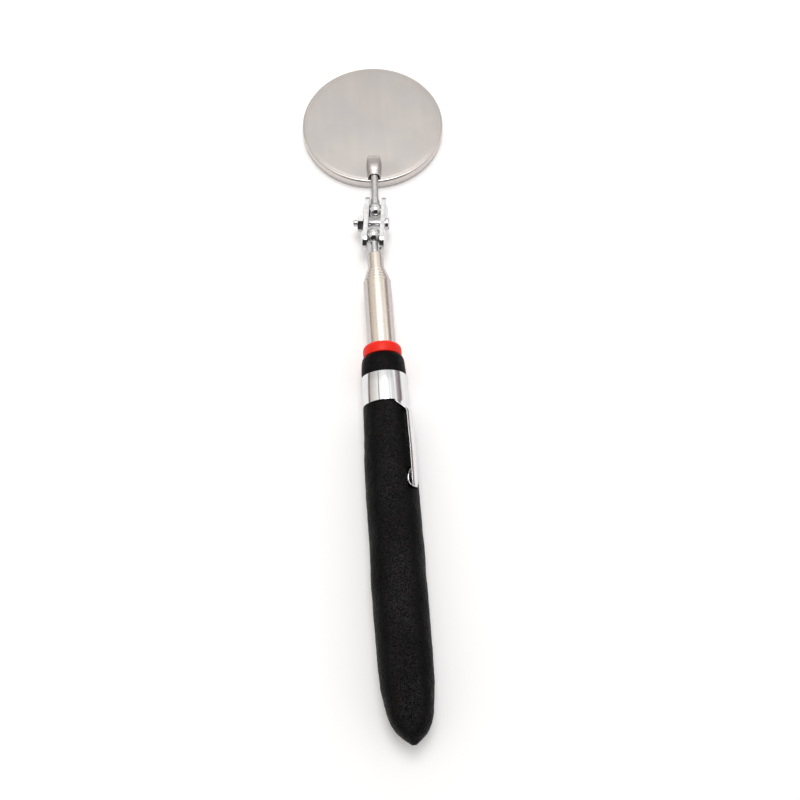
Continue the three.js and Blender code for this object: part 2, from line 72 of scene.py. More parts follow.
class Body(Enum):
    """The frame's moving bodies."""

    HANDLE = "handle"
    CLIP_ARM = "clip_arm"
    LOWER_BALL = "lower_ball"
    CLAMP = "clamp"
    TENSION_NUT = "tension_nut"
    UPPER_BALL = "upper_ball"
    MIRROR_HEAD = "mirror_head"


class Slot(Enum):
    """The record's material slots that the new pieces take."""

    GRIP = "grip_foam"
    COLLAR = "collar_red"
    TUBE = "tube_plate"
    CLIP = "clip_chrome"
    CLAMP = "clamp_chrome"
    BALL = "ball_steel"
    SHELL = "shell_steel"
    GLASS = "mirror_glass"


class Side(Enum):
    """The side of the tool that a clamp plate is on."""

    LEFT = -1
    RIGHT = 1


# ---- Places from the frame ----


def middle(node: str) -> Vector:
    """The middle of a CAD node's box, in metres."""
    low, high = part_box(node)
    return (low + high) / 2


def pivot(joint: str) -> Vector:
    """The point that a joint turns about, in metres."""
    return Vector(next(j["pos_m"] for j in frame["joints"] if j["name"] == joint))


def swing_of(way: Vector) -> Matrix:
    """The turn about the vertical that carries +Y onto a direction's ground track."""
    return Matrix.Rotation(-math.atan2(way.x, way.y), 4, "Z")


def head_swing() -> Matrix:
    """The turn of the mirror head and its stem, sideways from the tool's own line."""
    return swing_of(Vector(next(j["axis"] for j in frame["joints"] if j["name"] == "mirror_turn")))


# ---- Mesh work ----


def smoothstep(value: float, low: float, high: float) -> float:
    """Rises smoothly from 0 at low to 1 at high."""
    t = min(max((value - low) / (high - low), 0.0), 1.0)
    return t * t * (3 - 2 * t)


def along_curve(knots: Sequence[Sequence[float]], at: float) -> list[float]:
    """Follows a smooth curve through knots.

    Args:
        knots: Rows whose first number is the position and whose others are the values there.
        at: The position to read.

    Returns:
        The values at that position.
    """
    last = len(knots) - 2
    i = next((i for i in range(last) if at <= knots[i + 1][0]), last)
    a, b = knots[i], knots[i + 1]
    before, after = knots[max(i - 1, 0)], knots[min(i + 2, last + 1)]
    span = b[0] - a[0]
    t = min(max((at - a[0]) / span, 0.0), 1.0)
    values = []
    for k in range(1, len(a)):
        slope_a = (b[k] - before[k]) / (b[0] - before[0]) * span
        slope_b = (after[k] - a[k]) / (after[0] - a[0]) * span
        cubic = 2 * (a[k] - b[k]) + slope_a + slope_b
        square = 3 * (b[k] - a[k]) - 2 * slope_a - slope_b
        values.append(((cubic * t + square) * t + slope_a) * t + a[k])
    return values


def draw_outline(corners: Sequence[Corner], closed: bool, arc: int = 5) -> bmesh.types.BMesh:
    """Draws an outline in the XY plane and rounds its corners.

    Args:
        corners: Its corners in millimetres; X is the radius and Y runs along the axis.
        closed: Whether the last corner joins the first.
        arc: Segments in each rounded corner.

    Returns:
        A bmesh of the outline's edges, in metres.
    """
    bm = bmesh.new()
    verts = [bm.verts.new((radius * MM, y * MM, 0)) for radius, y, _ in corners]
    for a, b in zip(verts, verts[1:] + (verts[:1] if closed else [])):
        bm.edges.new((a, b))
    for vert, (_, _, rounding) in zip(verts, corners):
        if rounding > 0:
            bmesh.ops.bevel(
                bm, geom=[vert], offset=rounding * MM, offset_type="OFFSET", affect="VERTICES",
                segments=arc, profile=0.5, material=-1,
            )
    return bm


def divide(bm: bmesh.types.BMesh, longest: float) -> None:
    """Divides edges until none is longer than a length in millimetres."""
    for edge in list(bm.edges):
        cuts = math.ceil(edge.calc_length() / (longest * MM)) - 1
        if cuts > 0:
            bmesh.ops.subdivide_edges(bm, edges=[edge], cuts=cuts)


def face_outwards(bm: bmesh.types.BMesh) -> None:
    """Turns a closed shape's faces outwards."""
    bmesh.ops.recalc_face_normals(bm, faces=bm.faces[:])


def spin(bm: bmesh.types.BMesh, steps: int) -> bmesh.types.BMesh:
    """Spins an outline all the way round the Y axis into a closed skin.

    Args:
        bm: The outline, which touches the axis at both ends or is a closed loop.
        steps: Steps round the axis.

    Returns:
        The same bmesh, with its faces outwards.
    """
    bmesh.ops.spin(
        bm, geom=bm.verts[:] + bm.edges[:], cent=(0, 0, 0), axis=(0, 1, 0), angle=math.tau,
        steps=steps, use_merge=True,
    )
    bmesh.ops.remove_doubles(bm, verts=bm.verts[:], dist=1e-7)
    face_outwards(bm)
    return bm


def turned(corners: Sequence[Corner], steps: int, closed: bool = False) -> bmesh.types.BMesh:
    """A lathe-turned shape round the Y axis, from an outline in millimetres."""
    return spin(draw_outline(corners, closed), steps)


def verts_in(elements: Iterable[Any]) -> list[bmesh.types.BMVert]:
    """The vertices among some elements of a mesh."""
    return [element for element in elements if isinstance(element, bmesh.types.BMVert)]


def bridge(bm: bmesh.types.BMesh, first: Iterable[Any], second: Iterable[Any]) -> None:
    """Joins two rings of edges with a band of faces."""
    bmesh.ops.bridge_loops(bm, edges=[*first, *second])


def edges_within(bm: bmesh.types.BMesh, verts: Iterable[bmesh.types.BMVert]) -> list[Any]:
    """The edges whose two ends are both among some vertices."""
    chosen = set(verts)
    return [edge for edge in bm.edges if all(v in chosen for v in edge.verts)]


def made_object(name: str, bm: bmesh.types.BMesh, place: Optional[Matrix] = None) -> bpy.types.Object:
    """Puts a bmesh in the scene as an object at the origin.

    Args:
        name: The object's name.
        bm: Its shape, which is freed.
        place: Where the shape goes; the mesh is moved and the object is not.

    Returns:
        The new object.
    """
    if place is not None:
        bm.transform(place)
    mesh = bpy.data.meshes.new(name)
    bm.to_mesh(mesh)
    bm.free()
    made = bpy.data.objects.new(name, mesh)
    bpy.context.scene.collection.objects.link(made)
    return made


def apply_modifiers(made: bpy.types.Object) -> None:
    """Makes an object's mesh what its modifiers show, and removes them."""
    depsgraph = bpy.context.evaluated_depsgraph_get()
    mesh = bpy.data.meshes.new_from_object(made.evaluated_get(depsgraph))
    made.modifiers.clear()
    made.data = mesh


def thicken(made: bpy.types.Object, sheet: float, edge: float) -> None:
    """Gives a sheet its thickness on the inner side, and rounds its edges.

    Args:
        made: The sheet, whose faces point outwards.
        sheet: Its thickness in millimetres.
        edge: The rounding of its edges in millimetres.
    """
    wall = made.modifiers.new("wall", "SOLIDIFY")
    wall.thickness = sheet * MM
    wall.offset = -1
    wall.use_even_offset = True
    soften(made, edge)


def soften(made: bpy.types.Object, edge: float, angle: float = 50) -> None:
    """Rounds the sharp edges of an object.

    Args:
        made: The object.
        edge: The rounding in millimetres.
        angle: The least angle of an edge that is rounded, in degrees.
    """
    rounding = made.modifiers.new("edges", "BEVEL")
    rounding.width = edge * MM
    rounding.segments = 3
    rounding.limit_method = "ANGLE"
    rounding.angle_limit = math.radians(angle)
    rounding.harden_normals = False
    apply_modifiers(made)


def cut(made: bpy.types.Object, tool: bpy.types.Object) -> None:
    """Cuts one object's shape out of another, and removes the cutting one."""
    away = made.modifiers.new("cut", "BOOLEAN")
    away.operation = "DIFFERENCE"
    away.solver = "EXACT"
    away.object = tool
    apply_modifiers(made)
    bpy.data.objects.remove(tool)


def join(made: bpy.types.Object, other: bpy.types.Object) -> None:
    """Adds one object's mesh to another's, and removes the added object."""
    bm = bmesh.new()
    bm.from_mesh(made.data)
    bm.from_mesh(other.data)
    bm.to_mesh(made.data)
    bm.free()
    bpy.data.objects.remove(other)


def finish_piece(
    made: bpy.types.Object, material: bpy.types.Material, slot: Slot, stands_for: Sequence[str],
    body: Optional[Body] = None, sharp: float = 40,
) -> bpy.types.Object:
    """Dresses a piece, hides the CAD nodes that it replaces, and puts it on its body.

    Args:
        made: The piece.
        material: Its finish.
        slot: The record's slot for that finish.
        stands_for: The CAD nodes that it replaces.
        body: The body that it rides on; None where it bends between two.
        sharp: Edges turned by more than this many degrees stay crisp.

    Returns:
        The same piece.
    """
    made.data.shade_smooth()
    made.data.set_sharp_from_angle(angle=math.radians(sharp))
    made.data.materials.clear()
    made.data.materials.append(material)
    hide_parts(*stands_for)
    if body is not None:
        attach(made, body.value)
    LOG.info("%s: %d faces, %s", made.name, len(made.data.polygons), slot.value)
    return made


# ---- Shader wiring ----


class Wiring:
    """A node tree, with short calls for its nodes."""

    def __init__(self, tree: bpy.types.NodeTree) -> None:
        """Holds the tree that is being wired."""
        self.tree = tree

    def node(
        self, kind: str, inputs: Optional[dict[Any, Any]] = None, **settings: Any
    ) -> bpy.types.Node:
        """Adds a node.

        Args:
            kind: Its type, without the ShaderNode in front.
            inputs: What each input takes: a socket that feeds it, or a value.
            **settings: Its own settings.

        Returns:
            The new node.
        """
        made = self.tree.nodes.new("ShaderNode" + kind)
        for name, value in settings.items():
            setattr(made, name, value)
        for key, value in (inputs or {}).items():
            if isinstance(value, bpy.types.NodeSocket):
                self.tree.links.new(value, made.inputs[key])
            else:
                made.inputs[key].default_value = value
        return made

    def math(self, operation: str, *values: Any, clamp: bool = False) -> bpy.types.NodeSocket:
        """The result of a Math node on sockets or numbers."""
        made = self.node("Math", dict(enumerate(values)), operation=operation, use_clamp=clamp)
        return made.outputs[0]

    def scaled(
        self, coordinates: Any, scale: Sequence[float], moved: Sequence[float] = (0, 0, 0)
    ) -> Any:
        """Coordinates that a Mapping node has moved and stretched."""
        inputs = {"Vector": coordinates, "Location": moved, "Scale": scale}
        return self.node("Mapping", inputs).outputs[0]

    def noise(self, coordinates: Any, scale: Any, detail: float = 3, rough: float = 0.5) -> Any:
        """A noise value over the surface; scale is in features a metre."""
        inputs = {"Vector": coordinates, "Scale": scale, "Detail": detail, "Roughness": rough}
        return self.node("TexNoise", inputs).outputs[0]

    def ramp(self, value: Any, low: Any, high: Any, to_low: Any = 0.0, to_high: Any = 1.0) -> Any:
        """A value carried smoothly from one range to another."""
        inputs = {0: value, 1: low, 2: high, 3: to_low, 4: to_high}
        made = self.node("MapRange", inputs, interpolation_type="SMOOTHSTEP")
        return made.outputs[0]

    def mix(self, share: Any, first: Any, second: Any) -> Any:
        """A colour between two colours."""
        made = self.node("Mix", {0: share, 6: first, 7: second}, data_type="RGBA")
        return made.outputs[2]


def effect(
    name: str, inputs: dict[str, str], outputs: Sequence[str],
    wire: Callable[[Wiring, Any], dict[str, Any]],
) -> bpy.types.NodeTree:
    """Makes a shader node group for an effect.

    Args:
        name: The group's name.
        inputs: The kind of each named input: Vector or Float.
        outputs: The names of its number outputs.
        wire: Wires the nodes and returns the socket for each output.

    Returns:
        The group.
    """
    group = bpy.data.node_groups.new(name, "ShaderNodeTree")
    for label, kind in inputs.items():
        group.interface.new_socket(name=label, in_out="INPUT", socket_type="NodeSocket" + kind)
    for label in outputs:
        group.interface.new_socket(name=label, in_out="OUTPUT", socket_type="NodeSocketFloat")
    source = group.nodes.new("NodeGroupInput")
    sink = group.nodes.new("NodeGroupOutput")
    for label, socket in wire(Wiring(group), source.outputs).items():
        group.links.new(socket, sink.inputs[label])
    return group


def wire_pebble(w: Wiring, given: Any) -> dict[str, Any]:
    """Wires the leathery pebble grain of moulded foam: its height, and the valleys between pebbles."""
    warp = w.node("TexNoise", {"Vector": given["Coordinates"], "Scale": given["Pebbles"], "Detail": 2})
    shifted = w.node(
        "VectorMath", {0: warp.outputs["Color"], "Scale": 0.00035}, operation="SCALE"
    ).outputs[0]
    place = w.node("VectorMath", {0: given["Coordinates"], 1: shifted}, operation="ADD").outputs[0]
    cells = w.node(
        "TexVoronoi", {"Vector": place, "Scale": given["Pebbles"], "Smoothness": 0.6},
        feature="SMOOTH_F1",
    ).outputs["Distance"]
    crease = w.noise(place, w.math("MULTIPLY", given["Pebbles"], 0.55), 5, 0.62)
    valley = w.ramp(cells, 0.25, 0.75)
    height = w.math("SUBTRACT", crease, w.math("MULTIPLY", valley, given["Depth"]))
    return {"Height": height, "Valley": valley}


def wire_handling(w: Wiring, given: Any) -> dict[str, Any]:
    """Wires the marks of handling: soft smears and a few hairline scratches."""
    smear = w.noise(given["Coordinates"], given["Smears"], 4, 0.55)
    across = w.noise(w.scaled(given["Coordinates"], (1, 0.035, 1)), given["Scratches"], 2, 0.4)
    slanted = w.noise(w.scaled(given["Coordinates"], (0.06, 0.7, 0.35)), given["Scratches"], 2, 0.4)
    lines = w.math("MAXIMUM", w.ramp(across, 0.66, 0.72), w.ramp(slanted, 0.68, 0.74))
    return {"Smear": w.ramp(smear, 0.3, 0.7), "Scratch": lines}


def wire_edges(w: Wiring, given: Any) -> dict[str, Any]:
    """Wires the rubbing along outer edges, broken up so that it is never an even line."""
    curve = w.node("NewGeometry").outputs["Pointiness"]
    broken = w.noise(given["Coordinates"], given["Breaks"], 3, 0.6)
    rubbed = w.ramp(curve, 0.5, given["Least curve"])
    return {"Worn": w.math("MULTIPLY", rubbed, w.ramp(broken, 0.35, 0.65))}


def wire_drawn(w: Wiring, given: Any) -> dict[str, Any]:
    """Wires the fine lines that a drawn or rolled metal keeps along the tool."""
    fine = w.noise(w.scaled(given["Coordinates"], (1, 0.012, 1)), given["Lines"], 3, 0.7)
    broad = w.noise(w.scaled(given["Coordinates"], (0.2, 0.01, 0.2)), given["Lines"], 2, 0.5)
    return {"Line": fine, "Tone": w.ramp(broad, 0.3, 0.7)}


class Effects:
    """The shader node groups that several finishes share."""

    def __init__(self) -> None:
        """Makes each group once."""
        self.pebble = effect(
            "pebble_grain", {"Coordinates": "Vector", "Pebbles": "Float", "Depth": "Float"},
            ["Height", "Valley"], wire_pebble,
        )
        self.handling = effect(
            "handling_marks", {"Coordinates": "Vector", "Smears": "Float", "Scratches": "Float"},
            ["Smear", "Scratch"], wire_handling,
        )
        self.edges = effect(
            "worn_edges", {"Coordinates": "Vector", "Breaks": "Float", "Least curve": "Float"},
            ["Worn"], wire_edges,
        )
        self.drawn = effect(
            "drawn_lines", {"Coordinates": "Vector", "Lines": "Float"}, ["Line", "Tone"], wire_drawn
        )


def rgb(red: float, green: float, blue: float) -> Colour:
    """A colour with full alpha, from linear shares of light."""
    return (red, green, blue, 1.0)


class Coat:
    """A material that is being wired: its coordinates, its shader and the shared effects."""

    def __init__(self, name: str, effects: Effects) -> None:
        """Starts a material with a Principled shader."""
        self.material = bpy.data.materials.new(name)
        self.material.use_nodes = True
        self.w = Wiring(self.material.node_tree)
        self.shader = self.material.node_tree.nodes["Principled BSDF"]
        self.place = self.w.node("TexCoord").outputs["Object"]
        self.effects = effects

    def use(self, group: bpy.types.NodeTree, **values: Any) -> Any:
        """Places a shared effect with its own values, and returns its outputs."""
        made = self.w.node("Group", node_tree=group)
        self.w.tree.links.new(self.place, made.inputs["Coordinates"])
        for label, value in values.items():
            made.inputs[label.replace("_", " ").capitalize()].default_value = value
        return made.outputs

    def feed(self, label: str, value: Any) -> None:
        """Feeds a shader input from a socket, or sets it."""
        socket = self.shader.inputs[label]
        if isinstance(value, bpy.types.NodeSocket):
            self.w.tree.links.new(value, socket)
        else:
            socket.default_value = value

    def bump(self, height: Any, depth: float, under: Any = None) -> Any:
        """A bumped normal; depth is in millimetres, and under is a normal to build on."""
        inputs = {"Height": height, "Distance": depth * MM, "Strength": 1.0}
        if under is not None:
            inputs["Normal"] = under
        return self.w.node("Bump", inputs).outputs[0]


@dataclass(frozen=True)
class FoamFinish:
    """Black foam rubber with a leathery pebbled skin, with painted shade on its flanks and in its pebble
    valleys, and a painted highlight mixed into its lightened pebble tops.
    """

    name: str
    deep: Colour
    # colour of the lightened pebble tops: partly rub wear, partly a painted highlight
    rubbed: Colour
    warm: Colour
    cool: Colour
    pebbles: float
    depth: float
    roughness: tuple[float, float]
    ior: float

    def material(self, effects: Effects) -> bpy.types.Material:
        """Wires the finish."""
        coat = Coat(self.name, effects)
        w = coat.w
        grain = coat.use(effects.pebble, pebbles=self.pebbles, depth=0.5)
        marks = coat.use(effects.handling, smears=90.0, scratches=900.0)
        hue = w.ramp(w.noise(coat.place, 260.0, 3), 0.35, 0.65)
        tinted = w.mix(hue, self.warm, self.cool)
        body = w.mix(w.ramp(w.noise(coat.place, 1500.0, 2), 0.4, 0.75), self.deep, tinted)
        # Pebble tops lightened where handled: partly rub wear, partly a painted highlight that lightens
        # the grip between its shaded flanks.
        handled_and_lit = w.ramp(marks["Smear"], 0.0, 1.0, 0.45, 0.85)
        worn_and_lit_tops = w.math("MULTIPLY", handled_and_lit, w.math("SUBTRACT", 1.0, grain["Valley"]))
        skin = w.mix(worn_and_lit_tops, body, self.rubbed)
        # Painted shade: the colour goes to the deep colour on the flanks, where the surface is seen at a
        # slant, and in the valleys between pebbles.
        slant = w.ramp(w.node("LayerWeight", {"Blend": 0.5}).outputs["Facing"], 0.01, 0.3)
        dark = w.math("MAXIMUM", w.math("MULTIPLY", grain["Valley"], 0.5), slant)
        coat.feed("Base Color", w.mix(dark, skin, self.deep))
        spread = w.ramp(marks["Smear"], 0.0, 1.0, self.roughness[1], self.roughness[0])
        coat.feed("Roughness", w.math("ADD", spread, w.math("MULTIPLY", grain["Valley"], 0.1)))
        coat.feed("IOR", self.ior)
        soft = coat.bump(w.noise(coat.place, 450.0, 3), self.depth * 1.5)
        coat.feed("Normal", coat.bump(grain["Height"], self.depth, soft))
        return coat.material


@dataclass(frozen=True)
class PlasticFinish:
    """Moulded plastic, glossy or matte, paler where its edges have rubbed."""

    name: str
    colour: Colour
    shade: Colour
    rubbed: Colour
    roughness: tuple[float, float]
    texture: float
    depth: float
    specular: float = 0.5

    def material(self, effects: Effects) -> bpy.types.Material:
        """Wires the finish."""
        coat = Coat(self.name, effects)
        w = coat.w
        marks = coat.use(effects.handling, smears=180.0, scratches=1400.0)
        worn = coat.use(effects.edges, breaks=900.0, least_curve=0.56)["Worn"]
        body = w.mix(marks["Smear"], self.colour, self.shade)
        coat.feed("Base Color", w.mix(w.math("MULTIPLY", worn, 0.6), body, self.rubbed))
        dull = w.math("MAXIMUM", w.math("MULTIPLY", worn, 0.7), marks["Scratch"])
        spread = w.ramp(marks["Smear"], 0.0, 1.0, *self.roughness)
        coat.feed("Roughness", w.math("ADD", spread, w.math("MULTIPLY", dull, 0.2)))
        coat.feed("Specular IOR Level", self.specular)
        height = w.math("SUBTRACT", w.noise(coat.place, self.texture, 3), marks["Scratch"])
        coat.feed("Normal", coat.bump(height, self.depth))
        return coat.material


@dataclass(frozen=True)
class MetalFinish:
    """Bare or plated metal with smears, hairlines, drawn lines and rubbed edges, and a painted shade on
    its flanks where one is given.
    """

    name: str
    bright: Colour
    dull: Colour
    roughness: tuple[float, float]
    lines: float
    line_depth: float
    smears: float = 120.0
    ripple: float = 0.0
    # Painted shade: a darker colour that the flanks turn to where seen at a slant, standing in for the
    # shaded floor that they reflect.
    flank_shade: Optional[Colour] = None

    def with_flank_shade(self, coat: Coat, tone: Any) -> Any:
        """The colour, turned towards a painted flank shade where the surface is seen at a slant."""
        if self.flank_shade is None:
            return tone
        slant = coat.w.node("LayerWeight", {"Blend": 0.5}).outputs["Facing"]
        return coat.w.mix(coat.w.ramp(slant, 0.3, 0.6), tone, self.flank_shade)

    def tone(self, coat: Coat, marks: Any, lines: Any) -> Any:
        """The colour over the surface."""
        share = coat.w.math("MULTIPLY", marks["Smear"], lines["Tone"])
        return coat.w.mix(share, self.bright, self.dull)

    def material(self, effects: Effects) -> bpy.types.Material:
        """Wires the finish."""
        coat = Coat(self.name, effects)
        w = coat.w
        marks = coat.use(effects.handling, smears=self.smears, scratches=1600.0)
        lines = coat.use(effects.drawn, lines=self.lines)
        worn = coat.use(effects.edges, breaks=1200.0, least_curve=0.6)["Worn"]
        tone = self.tone(coat, marks, lines)
        rubbed = w.mix(w.math("MULTIPLY", worn, 0.35), tone, self.bright)
        coat.feed("Base Color", self.with_flank_shade(coat, rubbed))
        coat.feed("Metallic", 1.0)
        low, high = self.roughness
        spread = w.ramp(marks["Smear"], 0.0, 1.0, low, high)
        lined = w.math("MULTIPLY", lines["Line"], (high - low) * 0.8)
        scratched = w.math("MULTIPLY", marks["Scratch"], 0.08)
        coat.feed("Roughness", w.math("ADD", w.math("ADD", spread, lined), scratched))
        height = w.math("SUBTRACT", lines["Line"], w.math("MULTIPLY", marks["Scratch"], 0.4))
        normal = coat.bump(height, self.line_depth)
        if self.ripple > 0:
            normal = coat.bump(w.noise(coat.place, self.smears, 2), self.ripple, normal)
        coat.feed("Normal", normal)
        return coat.material


@dataclass(frozen=True)
class SatinFinish(MetalFinish):
    """Satin stainless sheet with a faint warm and cool mottle, a darker patch near its middle, and a
    painted shade that darkens its flat back against its wall, rim and socket.
    """

    warm: Colour = rgb(0.76, 0.695, 0.65)
    cool: Colour = rgb(0.69, 0.69, 0.715)
    # colour of the darker patch round the middle of the back
    middle_patch: Colour = rgb(0.56, 0.53, 0.51)
    # share of colour left on the flat back: a painted shade
    satin: float = 0.63
    back: float = 3.8
    centre: tuple[float, float, float] = (0, 0, 0)
    reach: float = 16.0

    def tone(self, coat: Coat, marks: Any, lines: Any) -> Any:
        """The colour over the surface, with its mottle, its darker middle patch and its painted shade on
        the flat back.
        """
        w = coat.w
        base = super().tone(coat, marks, lines)
        hue = w.ramp(w.noise(coat.place, 70.0, 3, 0.6), 0.35, 0.65)
        mottled = w.mix(0.35, base, w.mix(hue, self.warm, self.cool))
        # A darker, ragged patch round the middle of the back.
        offset = w.scaled(coat.place, (1, 1.3, 0), [-c for c in self.centre])
        distance = w.node("VectorMath", {0: offset}, operation="LENGTH").outputs["Value"]
        ragged = w.math("ADD", distance, w.math("MULTIPLY", w.noise(coat.place, 130.0, 3), 0.008))
        dark = w.ramp(ragged, self.reach * MM, 0.006, 0.0, 0.4)
        middle_patched = w.mix(dark, mottled, self.middle_patch)
        # Painted shade: the colour is scaled down on the flat back, at its height, and kept full on the
        # wall, rim and socket.
        height = w.node("SeparateXYZ", {0: coat.place}).outputs["Z"]
        off = w.math("ABSOLUTE", w.math("SUBTRACT", height, self.back * MM))
        share = w.ramp(off, 0.00003, 0.00012, self.satin, 1.0)
        return w.node("VectorMath", {0: middle_patched, "Scale": share}, operation="SCALE").outputs[0]


@dataclass(frozen=True)
class GlassFinish:
    """Silvered mirror glass, clear in the middle and a little hazed towards its edge."""

    name: str
    silver: Colour
    haze: Colour
    centre: tuple[float, float, float]
    radius: float

    def material(self, effects: Effects) -> bpy.types.Material:
        """Wires the finish."""
        coat = Coat(self.name, effects)
        w = coat.w
        marks = coat.use(effects.handling, smears=80.0, scratches=1100.0)
        offset = w.scaled(coat.place, (1, 1, 0), [-c for c in self.centre])
        distance = w.node("VectorMath", {0: offset}, operation="LENGTH").outputs["Value"]
        rim = w.ramp(distance, self.radius * 0.93 * MM, self.radius * MM)
        hazed = w.math("MULTIPLY", marks["Smear"], 0.25)
        coat.feed("Base Color", w.mix(w.math("MAXIMUM", rim, hazed), self.silver, self.haze))
        coat.feed("Metallic", 1.0)
        coat.feed("Roughness", w.math("ADD", 0.008, w.math("MULTIPLY", marks["Smear"], 0.03)))
        coat.feed("Normal", coat.bump(marks["Scratch"], 0.0006))
        return coat.material


class Finishes:
    """Every finish on the tool."""

    def __init__(self, effects: Effects) -> None:
        """Wires the finishes with their shared effects."""
        disc = middle("mirror_shell")
        place = (disc.x, disc.y, 0.0)
        self.grip = FoamFinish(
            "grip_foam", deep=rgb(0.0015, 0.0015, 0.0015), rubbed=rgb(0.029, 0.028, 0.0275),
            warm=rgb(0.018, 0.009, 0.010), cool=rgb(0.008, 0.009, 0.016), pebbles=2500.0,
            depth=0.26, roughness=(0.28, 0.38), ior=1.15,
        ).material(effects)
        self.pad = FoamFinish(
            "pad_foam", deep=rgb(0.4, 0.4, 0.38), rubbed=rgb(0.6, 0.6, 0.58),
            warm=rgb(0.5, 0.46, 0.42), cool=rgb(0.44, 0.47, 0.5), pebbles=1800.0,
            depth=0.12, roughness=(0.8, 0.95), ior=1.4,
        ).material(effects)
        self.collar = PlasticFinish(
            "collar_red", colour=rgb(0.92, 0.022, 0.007), shade=rgb(0.84, 0.014, 0.005),
            rubbed=rgb(0.95, 0.06, 0.03), roughness=(0.4, 0.5), texture=700.0, depth=0.004,
            specular=0.25,
        ).material(effects)
        self.plug = PlasticFinish(
            "plug_plastic", colour=rgb(0.02, 0.02, 0.022), shade=rgb(0.035, 0.034, 0.034),
            rubbed=rgb(0.12, 0.12, 0.12), roughness=(0.5, 0.7), texture=3000.0, depth=0.02,
        ).material(effects)
        self.tube = MetalFinish(
            "tube_plate", bright=rgb(0.86, 0.79, 0.71), dull=rgb(0.79, 0.71, 0.62),
            roughness=(0.2, 0.26), lines=3500.0, line_depth=0.0002,
            # painted shade on the tube's flanks
            flank_shade=rgb(0.6, 0.57, 0.58),
        ).material(effects)
        self.clip = MetalFinish(
            "clip_chrome", bright=rgb(0.88, 0.89, 0.90), dull=rgb(0.76, 0.77, 0.79),
            roughness=(0.04, 0.12), lines=1500.0, line_depth=0.0003, ripple=0.004,
        ).material(effects)
        self.clamp = MetalFinish(
            "clamp_chrome", bright=rgb(0.84, 0.84, 0.85), dull=rgb(0.66, 0.66, 0.68),
            roughness=(0.1, 0.2), lines=2500.0, line_depth=0.0004, smears=350.0, ripple=0.006,
        ).material(effects)
        self.ball = MetalFinish(
            "ball_steel", bright=rgb(0.8, 0.8, 0.8), dull=rgb(0.6, 0.6, 0.62),
            roughness=(0.05, 0.16), lines=1800.0, line_depth=0.0004, smears=400.0,
        ).material(effects)
        self.shell = SatinFinish(
            "shell_steel", bright=rgb(0.78, 0.73, 0.70), dull=rgb(0.72, 0.68, 0.65),
            roughness=(0.3, 0.36), lines=1400.0, line_depth=0.0002, smears=60.0, ripple=0.008,
            centre=place,
        ).material(effects)
        self.bronze = MetalFinish(
            "bush_bronze", bright=rgb(0.72, 0.45, 0.18), dull=rgb(0.42, 0.24, 0.1),
            roughness=(0.22, 0.42), lines=2400.0, line_depth=0.002,
        ).material(effects)
        self.glass = GlassFinish(
            "mirror_glass", silver=rgb(0.9, 0.92, 0.92), haze=rgb(0.7, 0.73, 0.73),
            centre=place, radius=24.3,
        ).material(effects)


# ---- Sub-assemblies ----


